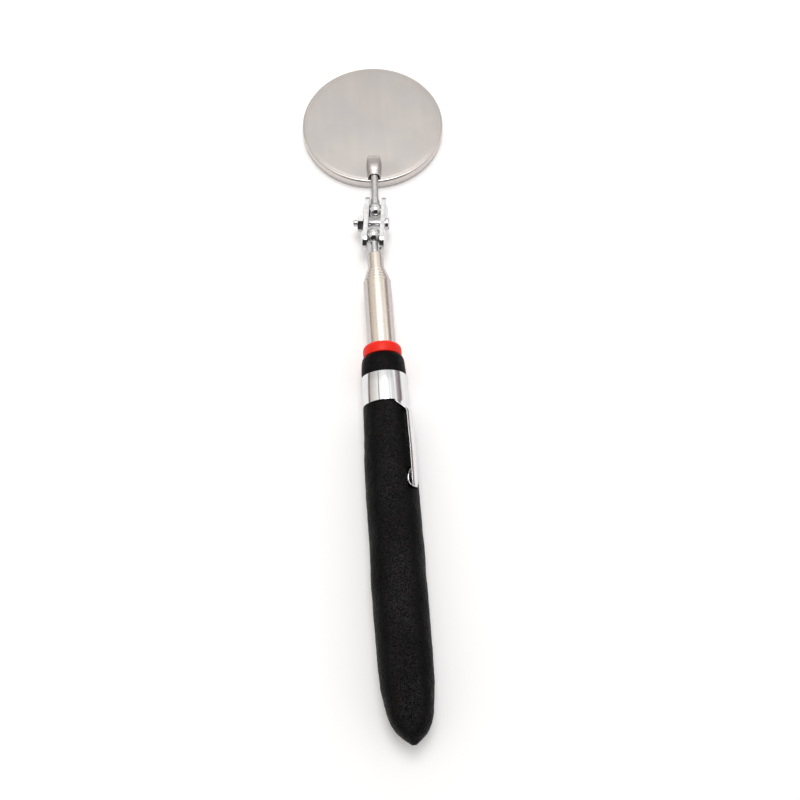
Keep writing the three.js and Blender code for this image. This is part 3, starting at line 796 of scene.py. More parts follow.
@dataclass
class Grip:
    """The foam grip: a soft sleeve with a pointed tail, a clip groove and a dent for the clip's foot."""

    finishes: Finishes
    steps: int = 144
    ring: float = 0.42
    bore: float = 4.55
    bore_start: float = 17.0
    spigot: float = 5.55
    spigot_length: float = 7.05
    groove: float = 6.78
    band: tuple[float, float] = (97.9, 107.5)
    front: float = 6.8
    tail_lean: float = 0.8
    foot: tuple[float, float] = (73.2, 3.2)
    foot_width: float = 1.35
    foot_depth: float = 1.7
    foot_sheet: float = 8.1
    rest: float = 7.98
    length: float = 114.6
    rear_shoulder: float = 7.12
    front_shoulder: float = 6.98
    stations: tuple[float, ...] = (
        0.0, 0.35, 0.8, 1.2, 1.9, 2.7, 3.8, 5.2, 6.5, 7.8, 10.4, 13.0, 15.6, 18.0, 21.0, 26.0, 32.0,
        45.0, 58.0, 64.0, 70.0, 75.0, 80.0, 84.0, 88.0, 91.0, 94.0, 96.8,
    )
    knots: tuple[tuple[float, float], ...] = (
        (0.0, 0.6), (0.35, 1.1), (1.2, 2.2), (2.7, 3.9), (5.2, 5.5), (7.8, 6.35), (10.4, 6.9),
        (13.0, 7.24), (15.6, 7.52), (21.0, 7.8), (32.0, 7.95), (45.0, 8.0), (58.0, 8.0),
        (70.0, 7.93), (80.0, 7.78), (88.0, 7.56), (94.0, 7.33), (96.8, 7.2),
    )

    def outline(self) -> list[Corner]:
        """The sleeve's closed outline: up its skin, then down its bore."""
        start, end = self.band
        length, inside = self.length, self.length - self.spigot_length
        return [
            (0.0, 0.0, 0.0),
            *[(along_curve(self.knots, s)[0], s, 0.0) for s in self.stations],
            (self.rear_shoulder, start - 0.25, 0.2),
            (self.groove, start - 0.1, 0.0), (self.groove, end + 0.1, 0.0),
            (self.front_shoulder, end + 0.3, 0.2), (6.94, end + 1.6, 0.0),
            (self.front, end + 4.4, 0.6), (self.front - 0.35, length, 1.4),
            (self.spigot, length, 0.2), (self.spigot, inside, 0.0),
            (self.bore, inside, 0.0), (self.bore, self.bore_start, 0.0), (0.0, self.bore_start, 0.0),
        ]

    def squeezed(self, point: Vector, clip_way: Vector) -> Vector:
        """Moves a point of the skin as soft foam would lie.

        Args:
            point: The point in millimetres from the tool's axis at the tail.
            clip_way: The way out from the axis through the clip's arm.

        Returns:
            The moved point.
        """
        radius = math.hypot(point.x, point.z)
        s = point.y
        skin = radius > self.spigot + 0.2 or s < self.bore_start - 1
        if not skin or radius < 0.01:
            return point
        start, end = self.band
        clear = 1 - smoothstep(s, start - 3, start - 0.6) * (1 - smoothstep(s, end + 0.4, end + 2))
        tail = 1 - smoothstep(s, 6, 30)
        lumps = 0.16 * noise.noise(point / 7) + 0.06 * noise.noise(point / 2.2)
        crinkle = (0.02 + 0.035 * tail) * noise.noise(point / 0.8)
        wave = 0.12 * math.sin(s / 5.2) * max(0.0, -point.x / radius) * (1 - tail)
        moved = radius + clear * min(radius / 4, 1) * (lumps + crinkle + wave)
        out = Vector((point.x, 0, point.z)) / radius
        sideways = abs(point.z * clip_way.x - point.x * clip_way.z)
        reach = abs(s - self.foot[0]) / self.foot[1]
        if out.dot(clip_way) > 0 and reach < 1:
            pressed = min(moved, self.foot_sheet - self.foot_depth * math.sqrt(1 - reach**2))
            free = smoothstep(sideways, self.foot_width, self.foot_width + 0.8)
            moved = pressed + (moved - pressed) * free
        lean = self.tail_lean * max(0.0, 1 - s / 28) ** 2
        return Vector((out.x * moved + lean, s, max(out.z * moved, -self.rest)))

    def build(self, clip_angle: float) -> bpy.types.Object:
        """Builds and dresses the grip.

        Args:
            clip_angle: The angle of the clip's arm above the horizontal, in radians.

        Returns:
            The grip.
        """
        low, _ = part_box("foam_grip")
        axis = middle("red_collar")
        bm = draw_outline(self.outline(), closed=False)
        divide(bm, self.ring)
        spin(bm, self.steps)
        clip_way = Vector((math.cos(clip_angle), 0, math.sin(clip_angle)))
        for vert in bm.verts:
            vert.co = self.squeezed(vert.co / MM, clip_way) * MM
        made = made_object("grip_sleeve", bm, Matrix.Translation((axis.x, low.y, axis.z)))
        finish_piece(made, self.finishes.grip, Slot.GRIP, ["foam_grip"], Body.HANDLE)
        return made


@dataclass
class Collar:
    """The red plastic ring at the front of the grip."""

    finishes: Finishes
    steps: int = 128
    radius: float = 6.1
    length: float = 3.9
    spigot: float = 5.45
    spigot_length: float = 7.0
    bore: float = 4.55

    def build(self) -> bpy.types.Object:
        """Builds and dresses the collar."""
        _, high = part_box("red_collar")
        axis = middle("red_collar")
        corners = [
            (self.bore, -self.length - self.spigot_length, 0.1),
            (self.spigot, -self.length - self.spigot_length, 0.2),
            (self.spigot, -self.length + 0.05, 0.0),
            (self.radius - 0.1, -self.length + 0.05, 0.35),
            (self.radius + 0.03, -2.2, 0.8),
            (self.radius - 0.1, 0.0, 1.2),
            (self.bore + 0.12, 0.0, 0.25),
            (self.bore, -0.5, 0.1),
        ]
        bm = draw_outline(corners, closed=True)
        divide(bm, 0.8)
        spin(bm, self.steps)
        made = made_object("collar_ring", bm, Matrix.Translation((axis.x, high.y, axis.z)))
        return finish_piece(made, self.finishes.collar, Slot.COLLAR, ["red_collar"], Body.HANDLE)


@dataclass
class PocketClip:
    """The pocket clip: a chromed sheet with a band, a flared neck, an arm and a D-shaped foot."""

    finishes: Finishes
    band: tuple[float, float] = (97.9, 107.5)
    radius: float = 7.25
    sheet: float = 0.4
    edge: float = 0.09
    angle: float = 40.0
    segments: int = 120
    columns: int = 20
    row: float = 0.35
    foot: tuple[float, float] = (73.2, 2.9)
    foot_depth: float = 1.9
    foot_half: float = 1.1
    end: float = 70.3
    stations: tuple[tuple[float, float, float, float], ...] = (
        # distance from the tail reversed, outer radius, half width, how far the edges curl in
        (-97.9, 7.25, 3.67, 0.93), (-97.3, 7.33, 3.35, 0.78), (-96.6, 7.62, 2.75, 0.6),
        (-95.9, 8.15, 2.1, 0.5), (-95.2, 8.66, 1.62, 0.45), (-94.6, 8.93, 1.36, 0.3),
        (-93.8, 9.02, 1.3, 0.2), (-88.0, 9.12, 1.3, 0.16), (-83.0, 9.2, 1.3, 0.16),
        (-77.0, 9.12, 1.3, 0.16), (-70.0, 8.98, 1.3, 0.16),
    )

    def section(self, s: float, share: float) -> tuple[float, float]:
        """A point of the sheet's cross-section.

        Args:
            s: The distance from the tail in millimetres.
            share: The place across the sheet, from -1 to 1.

        Returns:
            The distances out from the axis and sideways from the arm's middle.
        """
        out, half, curl = along_curve(self.stations, -s)
        rounding = min(max((s - self.end) / half, 0.02), 1.0)
        half *= math.sqrt(1 - (1 - rounding) ** 2)
        return out - curl * abs(share) ** 2.4, half * share

    def keel(self) -> bmesh.types.BMesh:
        """The D-shaped foot under the arm's end, its two sides slightly sunk.

        Returns:
            The foot, with X out from the tool's axis, Y along the tool and Z across the arm.
        """
        centre, half_length = self.foot
        top = along_curve(self.stations, -centre)[0] - self.sheet + 0.06
        bm = bmesh.new()
        turns = [math.pi * i / 28 for i in range(29)]
        verts = [
            bm.verts.new((top - self.foot_depth * math.sin(a), centre + half_length * math.cos(a), 0))
            for a in turns
        ]
        side = bm.faces.new(verts)
        swept = bmesh.ops.extrude_face_region(bm, geom=[side])["geom"]
        bmesh.ops.translate(bm, vec=(0, 0, 2 * self.foot_half), verts=verts_in(swept))
        bmesh.ops.translate(bm, vec=(0, 0, -self.foot_half), verts=bm.verts[:])
        face_outwards(bm)
        flats = [f for f in bm.faces if len(f.verts) > 4]
        bmesh.ops.inset_individual(bm, faces=flats, thickness=0.34, depth=0)
        bmesh.ops.inset_individual(bm, faces=flats, thickness=0.12, depth=-0.16)
        bmesh.ops.scale(bm, vec=(MM, MM, MM), verts=bm.verts[:])
        return bm

    def sheet_mesh(self) -> bmesh.types.BMesh:
        """The sheet with no thickness yet: the band, and the arm drawn out from its rear edge.

        Returns:
            The sheet, its faces away from the tool's axis, with Y along the tool from the tail.
        """
        start, end = self.band
        angle = math.radians(self.angle)
        bm = bmesh.new()
        ring = bmesh.ops.create_circle(
            bm, cap_ends=False, radius=self.radius * MM, segments=self.segments
        )["verts"]
        turn = Matrix.Rotation(math.pi / 2, 4, "X") @ Matrix.Rotation(math.radians(-self.angle), 4, "Z")
        place = Matrix.Translation((0, start * MM, 0)) @ turn
        bmesh.ops.transform(bm, matrix=place, verts=ring)
        rear = list(bm.edges)
        swept = bmesh.ops.extrude_edge_only(bm, edges=rear)["geom"]
        bmesh.ops.translate(bm, vec=Vector((0, (end - start) * MM, 0)), verts=verts_in(swept))
        way = Vector((math.cos(angle), 0, math.sin(angle)))
        across = Vector((-way.z, 0, way.x))
        half = math.radians(360 / self.segments) * self.columns / 2 + 1e-4

        def in_neck(vert: bmesh.types.BMVert) -> bool:
            """Whether the arm grows out of this point of the band's edge."""
            out, sideways = vert.co.dot(way), vert.co.dot(across)
            return out > 0 and abs(math.atan2(sideways, out)) < half

        current = [e for e in rear if all(in_neck(v) for v in e.verts)]
        for i in range(int((start - self.end) / self.row)):
            s = start - self.row * (i + 1)
            swept = bmesh.ops.extrude_edge_only(bm, edges=current)["geom"]
            current = [g for g in swept if isinstance(g, bmesh.types.BMEdge)]
            verts = sorted(verts_in(swept), key=lambda v: v.co.dot(across))
            for k, vert in enumerate(verts):
                out, sideways = self.section(s, 2 * k / (len(verts) - 1) - 1)
                vert.co = (way * out + across * sideways + Vector((0, s, 0))) * MM
        face_outwards(bm)
        centres = [(f.normal, f.calc_center_median()) for f in bm.faces]
        if sum(normal.x * centre.x + normal.z * centre.z for normal, centre in centres) < 0:
            bmesh.ops.reverse_faces(bm, faces=bm.faces[:])
        return bm

    def build(self) -> bpy.types.Object:
        """Builds and dresses the clip as one piece that rides on no body."""
        axis = middle("red_collar")
        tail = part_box("foam_grip")[0].y / MM
        place = Matrix.Translation((axis.x, tail * MM, axis.z))
        made = made_object("pocket_clip", self.sheet_mesh(), place)
        thicken(made, self.sheet, self.edge)
        turn = Matrix.Rotation(math.radians(-self.angle), 4, "Y")
        foot = made_object("foot", self.keel(), place @ turn)
        soften(foot, 0.12)
        join(made, foot)
        finish_piece(made, self.finishes.clip, Slot.CLIP, ["clip_band", "clip_arm"], sharp=35)
        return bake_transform(made)


@dataclass
class Telescope:
    """The outer tube and the four tubes that slide in it, with their plugs and friction bushes."""

    finishes: Finishes
    steps: int = 128
    radii: tuple[float, ...] = (4.5, 4.05, 3.6, 3.15, 2.7)
    wall: float = 0.3
    lip_gap: float = 0.07
    lip: float = 1.2
    mouth_round: float = 0.2
    neck: float = 7.2
    neck_depth: float = 0.25
    flange: float = 0.4
    tip_bore: float = 1.6

    def mouth(self, index: int, front: float) -> list[Corner]:
        """The rolled-in mouth of a tube that another slides out of."""
        radius = self.radii[index]
        lip = self.radii[index + 1] + self.lip_gap
        return [
            (radius, front - 0.95, 0.1),
            (radius - 0.12, front - 0.75, 0.12),
            (radius + 0.02, front - 0.5, 0.12),
            (radius + 0.02, front, self.mouth_round),
            (lip, front, 0.0),
            (lip, front - self.lip, 0.0),
            (radius - self.wall, front - self.lip, 0.0),
        ]

    def tip(self, front: float) -> list[Corner]:
        """The closed-in tip of the innermost tube."""
        radius = self.radii[-1]
        return [
            (radius, front, 0.85),
            (self.tip_bore, front, 0.12),
            (self.tip_bore, front - 0.5, 0.0),
            (radius - self.wall - 0.3, front - 0.5, 0.3),
            (radius - self.wall, front - 1.2, 0.0),
        ]

    def tube(self, index: int) -> bpy.types.Object:
        """Builds and dresses one tube.

        Args:
            index: 0 for the outer tube, and 1 to 4 for the sliding ones from the outside in.

        Returns:
            The tube.
        """
        node = "outer_tube" if index == 0 else f"tube_section_{index + 1}"
        low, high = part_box(node)
        axis = middle(node)
        front = (high.y - low.y) / MM
        radius = self.radii[index]
        inner = radius - self.wall
        closing = self.tip(front) if index == len(self.radii) - 1 else self.mouth(index, front)
        if index == 0:
            corners = [(inner, 0.0, 0.0), (radius, 0.0, 0.1), *closing]
        else:
            waist = radius - self.neck_depth
            corners = [
                (waist - self.wall, 0.0, 0.0),
                (radius + 0.05, 0.0, 0.1),
                (radius + 0.05, self.flange, 0.1),
                (waist, self.flange, 0.0),
                (waist, self.neck, 0.1),
                (radius, self.neck, 0.1),
                *closing,
                (inner, self.neck + self.wall, 0.0),
                (waist - self.wall, self.neck, 0.0),
            ]
        bm = turned(corners, self.steps, closed=True)
        place = Matrix.Translation((axis.x, low.y, axis.z))
        made = made_object(f"telescope_tube_{index + 1}", bm, place)
        finish_piece(made, self.finishes.tube, Slot.TUBE, [node], sharp=30)
        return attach(made, "handle" if index == 0 else f"section_{index + 1}")

    def build(self) -> list[bpy.types.Object]:
        """Builds the tubes and dresses the plugs and bushes that stay as they are."""
        made = [self.tube(index) for index in range(len(self.radii))]
        for index in range(1, len(self.radii)):
            dress(f"friction_bush_{index + 1}", self.finishes.bronze)
        dress("outer_tube_plug", self.finishes.plug)
        dress("tube_end_plug", self.finishes.plug)
        return made


def dress(node: str, material: bpy.types.Material) -> None:
    """Gives a CAD node that stays visible its finish."""
    kept = frame["nodes"][node]
    if not kept.material_slots:
        kept.data.materials.append(material)
    kept.material_slots[0].material = material
    LOG.info("%s: kept, %s", node, material.name)


@dataclass
class BallClamp:
    """The double-ball clamp: two ball studs, two dished plates, and the screw and nut between."""

    finishes: Finishes
    ball: float = 2.8
    spacing: float = 12.0
    gap: float = 4.0
    plate: float = 1.5
    height: float = 6.2
    overhang: float = 5.3
    seat: float = 2.95
    dome: float = 4.4
    stem_short: float = 2.6
    hole: float = 1.4
    screw: float = 1.25
    head: tuple[float, float] = (2.1, 1.3)
    slot: tuple[float, float] = (0.6, 0.5)
    nut_flats: float = 5.0
    nut_height: float = 2.0
    tip: float = 1.5
    pitch: float = 0.45
    stem: float = 1.25
    shank: float = 1.5
    dish_softness: float = 0.12
    facing: float = 0.15

    def __post_init__(self) -> None:
        """Finds the clamp's own frame: the lower ball is its origin and +Y runs to the upper ball."""
        lower, upper = pivot("lower_ball_pitch"), pivot("upper_ball_pitch")
        way = upper - lower
        tilt = math.atan2(way.z, math.hypot(way.x, way.y))
        self.place = Matrix.Translation(lower) @ swing_of(way) @ Matrix.Rotation(tilt, 4, "X")
        self.face = self.gap / 2 + self.plate

    def ball_arc(self, low: float, high: float, count: int = 18) -> list[Corner]:
        """Points of a ball's outline between two angles from its pole, in degrees."""
        angles = [math.radians(low + (high - low) * i / count) for i in range(count + 1)]
        return [(self.ball * math.sin(a), -self.ball * math.cos(a), 0.0) for a in angles]

    def lower_stud(self) -> bpy.types.Object:
        """The ball on the innermost tube, with its neck and its shank."""
        low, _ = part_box("lower_ball_stud")
        centre = pivot("lower_ball_pitch")
        back = (low.y - centre.y) / MM
        corners = [
            (0.0, back, 0.0),
            (self.shank, back, 0.15),
            (self.shank, back + 0.8, 0.1),
            (0.85, back + 0.8, 0.0),
            (0.85, -6.8, 0.0),
            (1.25, -6.8, 0.1),
            (1.2, -4.2, 0.6),
            *self.ball_arc(26, 180),
        ]
        made = made_object("ball_stud_lower", turned(corners, 64), Matrix.Translation(centre))
        return finish_piece(made, self.finishes.ball, Slot.BALL, ["lower_ball_stud"], Body.LOWER_BALL)

    def upper_stud(self) -> bpy.types.Object:
        """The ball on the mirror's stem, with its cone."""
        _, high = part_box("upper_ball_stud")
        centre = pivot("upper_ball_pitch")
        end = (high.y - centre.y) / MM - self.stem_short
        corners = [
            *self.ball_arc(0, 143),
            (1.6, 2.9, 0.2),
            (1.4, 5.6, 1.2),
            (self.stem, 7.0, 0.6),
            (self.stem, end, 0.25),
            (0.0, end, 0.0),
        ]
        place = Matrix.Translation(centre) @ head_swing()
        made = made_object("ball_stud_upper", turned(corners, 64), place)
        return finish_piece(made, self.finishes.ball, Slot.BALL, ["upper_ball_stud"], Body.UPPER_BALL)

    def stadium(self, u: float, v: float) -> tuple[float, float]:
        """Carries a point of a rectangle onto the plate's round-ended outline.

        Args:
            u: The distance along the plate from its middle, as if its ends were square.
            v: The height from its middle line.

        Returns:
            The distance along and the height on the plate.
        """
        cap = self.height / 2
        straight = self.spacing / 2 + self.overhang - cap
        beyond = abs(u) - straight
        if beyond <= 0:
            return u, v
        x, y = beyond / cap, v / cap
        along = straight + cap * x * math.sqrt(1 - y * y / 2)
        return math.copysign(along, u), cap * y * math.sqrt(1 - x * x / 2)

    def dished(self, along: float, height: float, flat: float, sphere: float) -> float:
        """How far out a face of the plate is, with the ball's dish smoothly risen from the flat."""
        out = flat
        for ball in (-self.spacing / 2, self.spacing / 2):
            reach = math.hypot(along - ball, height)
            bulge = math.sqrt(max(sphere**2 - reach**2, 0.0))
            blended = (out + bulge + math.sqrt((out - bulge) ** 2 + self.dish_softness**2)) / 2
            out = max(out, bulge, blended)
        return out

    def plate_face(
        self, bm: bmesh.types.BMesh, flat: float, sphere: float
    ) -> tuple[list[Any], list[Any]]:
        """Adds one face of a plate, with the screw's hole.

        Args:
            bm: The plate.
            flat: The distance of the flat from the clamp's middle.
            sphere: The radius of the dishes.

        Returns:
            The edges round its outline and the edges round its hole.
        """
        length = self.spacing + 2 * self.overhang
        grid = bmesh.ops.create_grid(bm, x_segments=84, y_segments=32, size=0.5)["verts"]
        for vert in grid:
            along, height = self.stadium(vert.co.x * length, vert.co.y * self.height)
            vert.co = Vector((along, height, 0))
        faces = {f for v in grid for f in v.link_faces}
        inside = [f for f in faces if math.hypot(*f.calc_center_median().xy) < self.hole + 0.05]
        rim = {v for f in inside for v in f.verts}
        bmesh.ops.delete(bm, geom=inside, context="FACES")
        grid = [v for v in grid if v.is_valid]
        rim = {v for v in rim if v.is_valid and v.is_boundary}
        for vert in rim:
            vert.co = vert.co.normalized() * self.hole
        border = [e for e in edges_within(bm, grid) if e.is_boundary]
        hole = [e for e in border if all(v in rim for v in e.verts)]
        for vert in grid:
            along, height = vert.co.x, vert.co.y
            out = self.dished(along, height, flat, sphere)
            vert.co = Vector((out, along + self.spacing / 2, height)) * MM
        return [e for e in border if e not in set(hole)], hole

    def side_plate(self, side: Side) -> bpy.types.Object:
        """One of the two pressed plates.

        Args:
            side: The side that it is on.

        Returns:
            The plate.
        """
        bm = bmesh.new()
        inner, inner_hole = self.plate_face(bm, self.gap / 2, self.seat)
        outer, outer_hole = self.plate_face(bm, self.face, self.dome)
        bridge(bm, inner, outer)
        bridge(bm, inner_hole, outer_hole)
        if side is Side.LEFT:
            bmesh.ops.scale(bm, vec=(-1, 1, 1), verts=bm.verts[:])
        face_outwards(bm)
        name = f"clamp_plate_{side.name.lower()}"
        made = made_object(f"{name}_pressed", bm, self.place)
        soften(made, 0.3, 60)
        return finish_piece(made, self.finishes.clamp, Slot.CLAMP, [name], Body.CLAMP)

    def across(self, out: float = 0.0) -> Matrix:
        """Turns a shape made round Y so that Y points out to the right through the screw's hole."""
        middle_point = Matrix.Translation((out * MM, self.spacing / 2 * MM, 0))
        return self.place @ middle_point @ Matrix.Rotation(-math.pi / 2, 4, "Z")

    def thread(self, start: float, length: float) -> bmesh.types.BMesh:
        """A screw thread: a ridge wound round the core.

        Args:
            start: Where it starts along the core, in millimetres.
            length: How far it runs.

        Returns:
            The closed ridge.
        """
        core, crest = self.screw - 0.26, self.screw
        bm = draw_outline(
            [(core, -0.21, 0), (crest, -0.05, 0), (crest, 0.05, 0), (core, 0.21, 0)], closed=True
        )
        bmesh.ops.translate(bm, vec=(0, start * MM, 0), verts=bm.verts[:])
        first = bmesh.ops.contextual_create(bm, geom=bm.edges[:])["faces"]
        turns = length / self.pitch
        steps = int(turns * 36)
        bmesh.ops.spin(
            bm, geom=first, cent=(0, 0, 0), axis=(0, 1, 0), dvec=(0, length / steps * MM, 0),
            angle=math.tau * turns, steps=steps,
        )
        face_outwards(bm)
        return bm

    def pinch_screw(self) -> bpy.types.Object:
        """The slotted screw, with a real thread where it stands out of the nut."""
        end = -(self.face + self.facing + self.nut_height + self.tip)
        under = self.face + self.facing
        top = under + self.head[1]
        core = self.screw - 0.24
        corners = [
            (0.0, end, 0.0),
            (core - 0.1, end, 0.15),
            (core, end + 0.4, 0.0),
            (core, -self.face - 0.4, 0.0),
            (self.screw, -self.face + 0.1, 0.0),
            (self.screw, under, 0.0),
            (self.head[0], under, 0.15),
            (self.head[0], top, 0.62),
            (0.0, top, 0.0),
        ]
        made = made_object("pinch_screw", turned(corners, 72), self.across())
        blade = bmesh.new()
        bmesh.ops.create_cube(blade, size=1)
        size = (6 * MM, self.slot[1] * 2 * MM, self.slot[0] * MM)
        bmesh.ops.scale(blade, vec=size, verts=blade.verts[:])
        cut(made, made_object("slot_blade", blade, self.across(top)))
        ridge = made_object("ridge", self.thread(end + 0.35, self.nut_height + self.tip), self.across())
        join(made, ridge)
        return finish_piece(made, self.finishes.clamp, Slot.CLAMP, ["clamp_screw"], Body.CLAMP, 30)

    def hex_nut(self) -> bpy.types.Object:
        """The hex nut, its corners chamfered to a cone on both faces."""
        bm = bmesh.new()
        flats = self.nut_flats / 2
        half = self.nut_height / 2
        hole = self.screw + 0.08

        def ring(shape: Callable[[float], tuple[float, float]]) -> list[Any]:
            """Adds a ring of 96 edges whose radius and place along Y depend on the angle."""
            verts = bmesh.ops.create_circle(bm, cap_ends=False, radius=1, segments=96)["verts"]
            for vert in verts:
                angle = math.atan2(vert.co.y, vert.co.x)
                radius, along = shape(angle)
                vert.co = Vector((math.cos(angle) * radius, along, math.sin(angle) * radius)) * MM
            return edges_within(bm, verts)

        def hexagon(angle: float) -> float:
            """The radius of the hexagon at an angle."""
            return flats / math.cos((angle % (math.pi / 3)) - math.pi / 6)

        def chamfer(angle: float) -> float:
            """How far the chamfer has come down from a face at an angle."""
            return max(0.0, hexagon(angle) - flats * 0.97) * 0.5

        shapes = [
            lambda a: (hole + 0.2, -half),
            lambda a: (flats * 0.97, -half),
            lambda a: (hexagon(a), -half + chamfer(a)),
            lambda a: (hexagon(a), half - chamfer(a)),
            lambda a: (flats * 0.97, half),
            lambda a: (hole + 0.2, half),
            lambda a: (hole, half - 0.2),
            lambda a: (hole, -half + 0.2),
        ]
        rings = [ring(shape) for shape in shapes]
        for first, second in zip(rings, rings[1:] + rings[:1]):
            bridge(bm, first, second)
        face_outwards(bm)
        out = -(self.face + self.facing + half)
        made = made_object("tension_nut", bm, self.across(out))
        return finish_piece(made, self.finishes.clamp, Slot.CLAMP, ["clamp_nut"], Body.TENSION_NUT, 22)

    def build(self) -> list[bpy.types.Object]:
        """Builds and dresses the whole clamp."""
        return [
            self.lower_stud(), self.side_plate(Side.LEFT), self.side_plate(Side.RIGHT),
            self.pinch_screw(), self.hex_nut(), self.upper_stud(),
        ]


@dataclass
class MirrorHead:
    """The mirror: a stamped steel shell with a socket for the stem, the glass and its cushion."""

    finishes: Finishes
    radius: float = 25.0
    height: float = 3.8
    sheet: float = 0.5
    edge: float = 0.9
    rim: float = 0.6
    lip: float = 1.4
    mouth: float = 1.3
    socket_length: float = 9.8
    squareness: float = 0.66
    skirt: float = 0.82
    glass: tuple[float, float] = (24.3, 1.9)
    socket: tuple[tuple[float, float, float], ...] = (
        # distance from the mouth, half width, height over the shell
        (0.0, 2.15, 3.1), (1.5, 2.25, 3.15), (3.2, 2.5, 3.2), (4.6, 2.62, 2.75),
        (6.2, 2.6, 1.8), (8.0, 2.35, 0.75), (9.8, 1.9, -0.02),
    )

    def shell(self) -> bmesh.types.BMesh:
        """The shell: flat back, rounded edge, wall, and a lip rolled in under the glass."""
        r, h, t = self.radius, self.height, self.sheet
        corners = [
            (0.0, h, 0.0),
            (8.0, h, 0.0),
            (16.0, h, 0.0),
            (r - 1.6, h, 0.3),
            (r - 1.2, h - 0.04, 0.2),
            (r, h, self.edge - 0.1),
            (r, 1.5, 0.0),
            (r, 0.0, self.rim),
            (r - self.lip, 0.0, 0.12),
            (r - self.lip, t, 0.12),
            (r - t, t, 0.2),
            (r - t, h - t, self.edge - t),
            (0.0, h - t, 0.0),
        ]
        bm = draw_outline(corners, closed=False)
        divide(bm, 2.2)
        spin(bm, 192)
        bm.transform(Matrix.Rotation(math.pi / 2, 4, "X"))
        return bm

    def stem_socket(self) -> bmesh.types.BMesh:
        """The socket: a half barrel pressed up over the stem, which fades into the back of the shell."""
        bm = bmesh.new()
        grid = bmesh.ops.create_grid(bm, x_segments=72, y_segments=60, size=0.5)["verts"]
        skirt = self.skirt
        for vert in grid:
            u, v = vert.co.x * 2, vert.co.y + 0.5
            half, rise = along_curve(self.socket, v * self.socket_length)
            if abs(u) <= skirt:
                turn = abs(u) / skirt * math.pi / 2
                x = half * math.sin(turn) ** self.squareness
                z = rise * max(math.cos(turn), 0.0) ** self.squareness
            else:
                x, z = half + (abs(u) - skirt) / (1 - skirt) * 0.7, 0.0
            z += self.height - 0.03
            y = -self.radius + self.mouth + v * self.socket_length
            vert.co = Vector((math.copysign(x, u), y, z)) * MM
        face_outwards(bm)
        if sum(f.normal.z for f in bm.faces) < 0:
            bmesh.ops.reverse_faces(bm, faces=bm.faces[:])
        return bm

    def build(self) -> list[bpy.types.Object]:
        """Builds and dresses the mirror head."""
        centre = middle("mirror_shell")
        place = Matrix.Translation((centre.x, centre.y, 0)) @ head_swing()
        socket = made_object("socket", self.stem_socket(), place)
        thicken(socket, 0.3, 0.1)
        shell = made_object("mirror_back", self.shell(), place)
        join(shell, socket)
        finish_piece(shell, self.finishes.shell, Slot.SHELL, ["mirror_shell"], Body.MIRROR_HEAD, 32)
        radius, thickness = self.glass
        low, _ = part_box("mirror_glass")
        corners = [
            (0.0, 0.0, 0.0),
            (radius - 1.2, 0.0, 0.0),
            (radius, 0.0, 0.25),
            (radius, thickness, 0.12),
            (0.0, thickness, 0.0),
        ]
        bm = turned(corners, 192)
        bm.transform(Matrix.Rotation(math.pi / 2, 4, "X"))
        glass = made_object("round_mirror", bm, Matrix.Translation((centre.x, centre.y, low.z)))
        finish_piece(glass, self.finishes.glass, Slot.GLASS, ["mirror_glass"], Body.MIRROR_HEAD)
        dress("mirror_pad", self.finishes.pad)
        return [shell, glass]


# ---- Studio ----


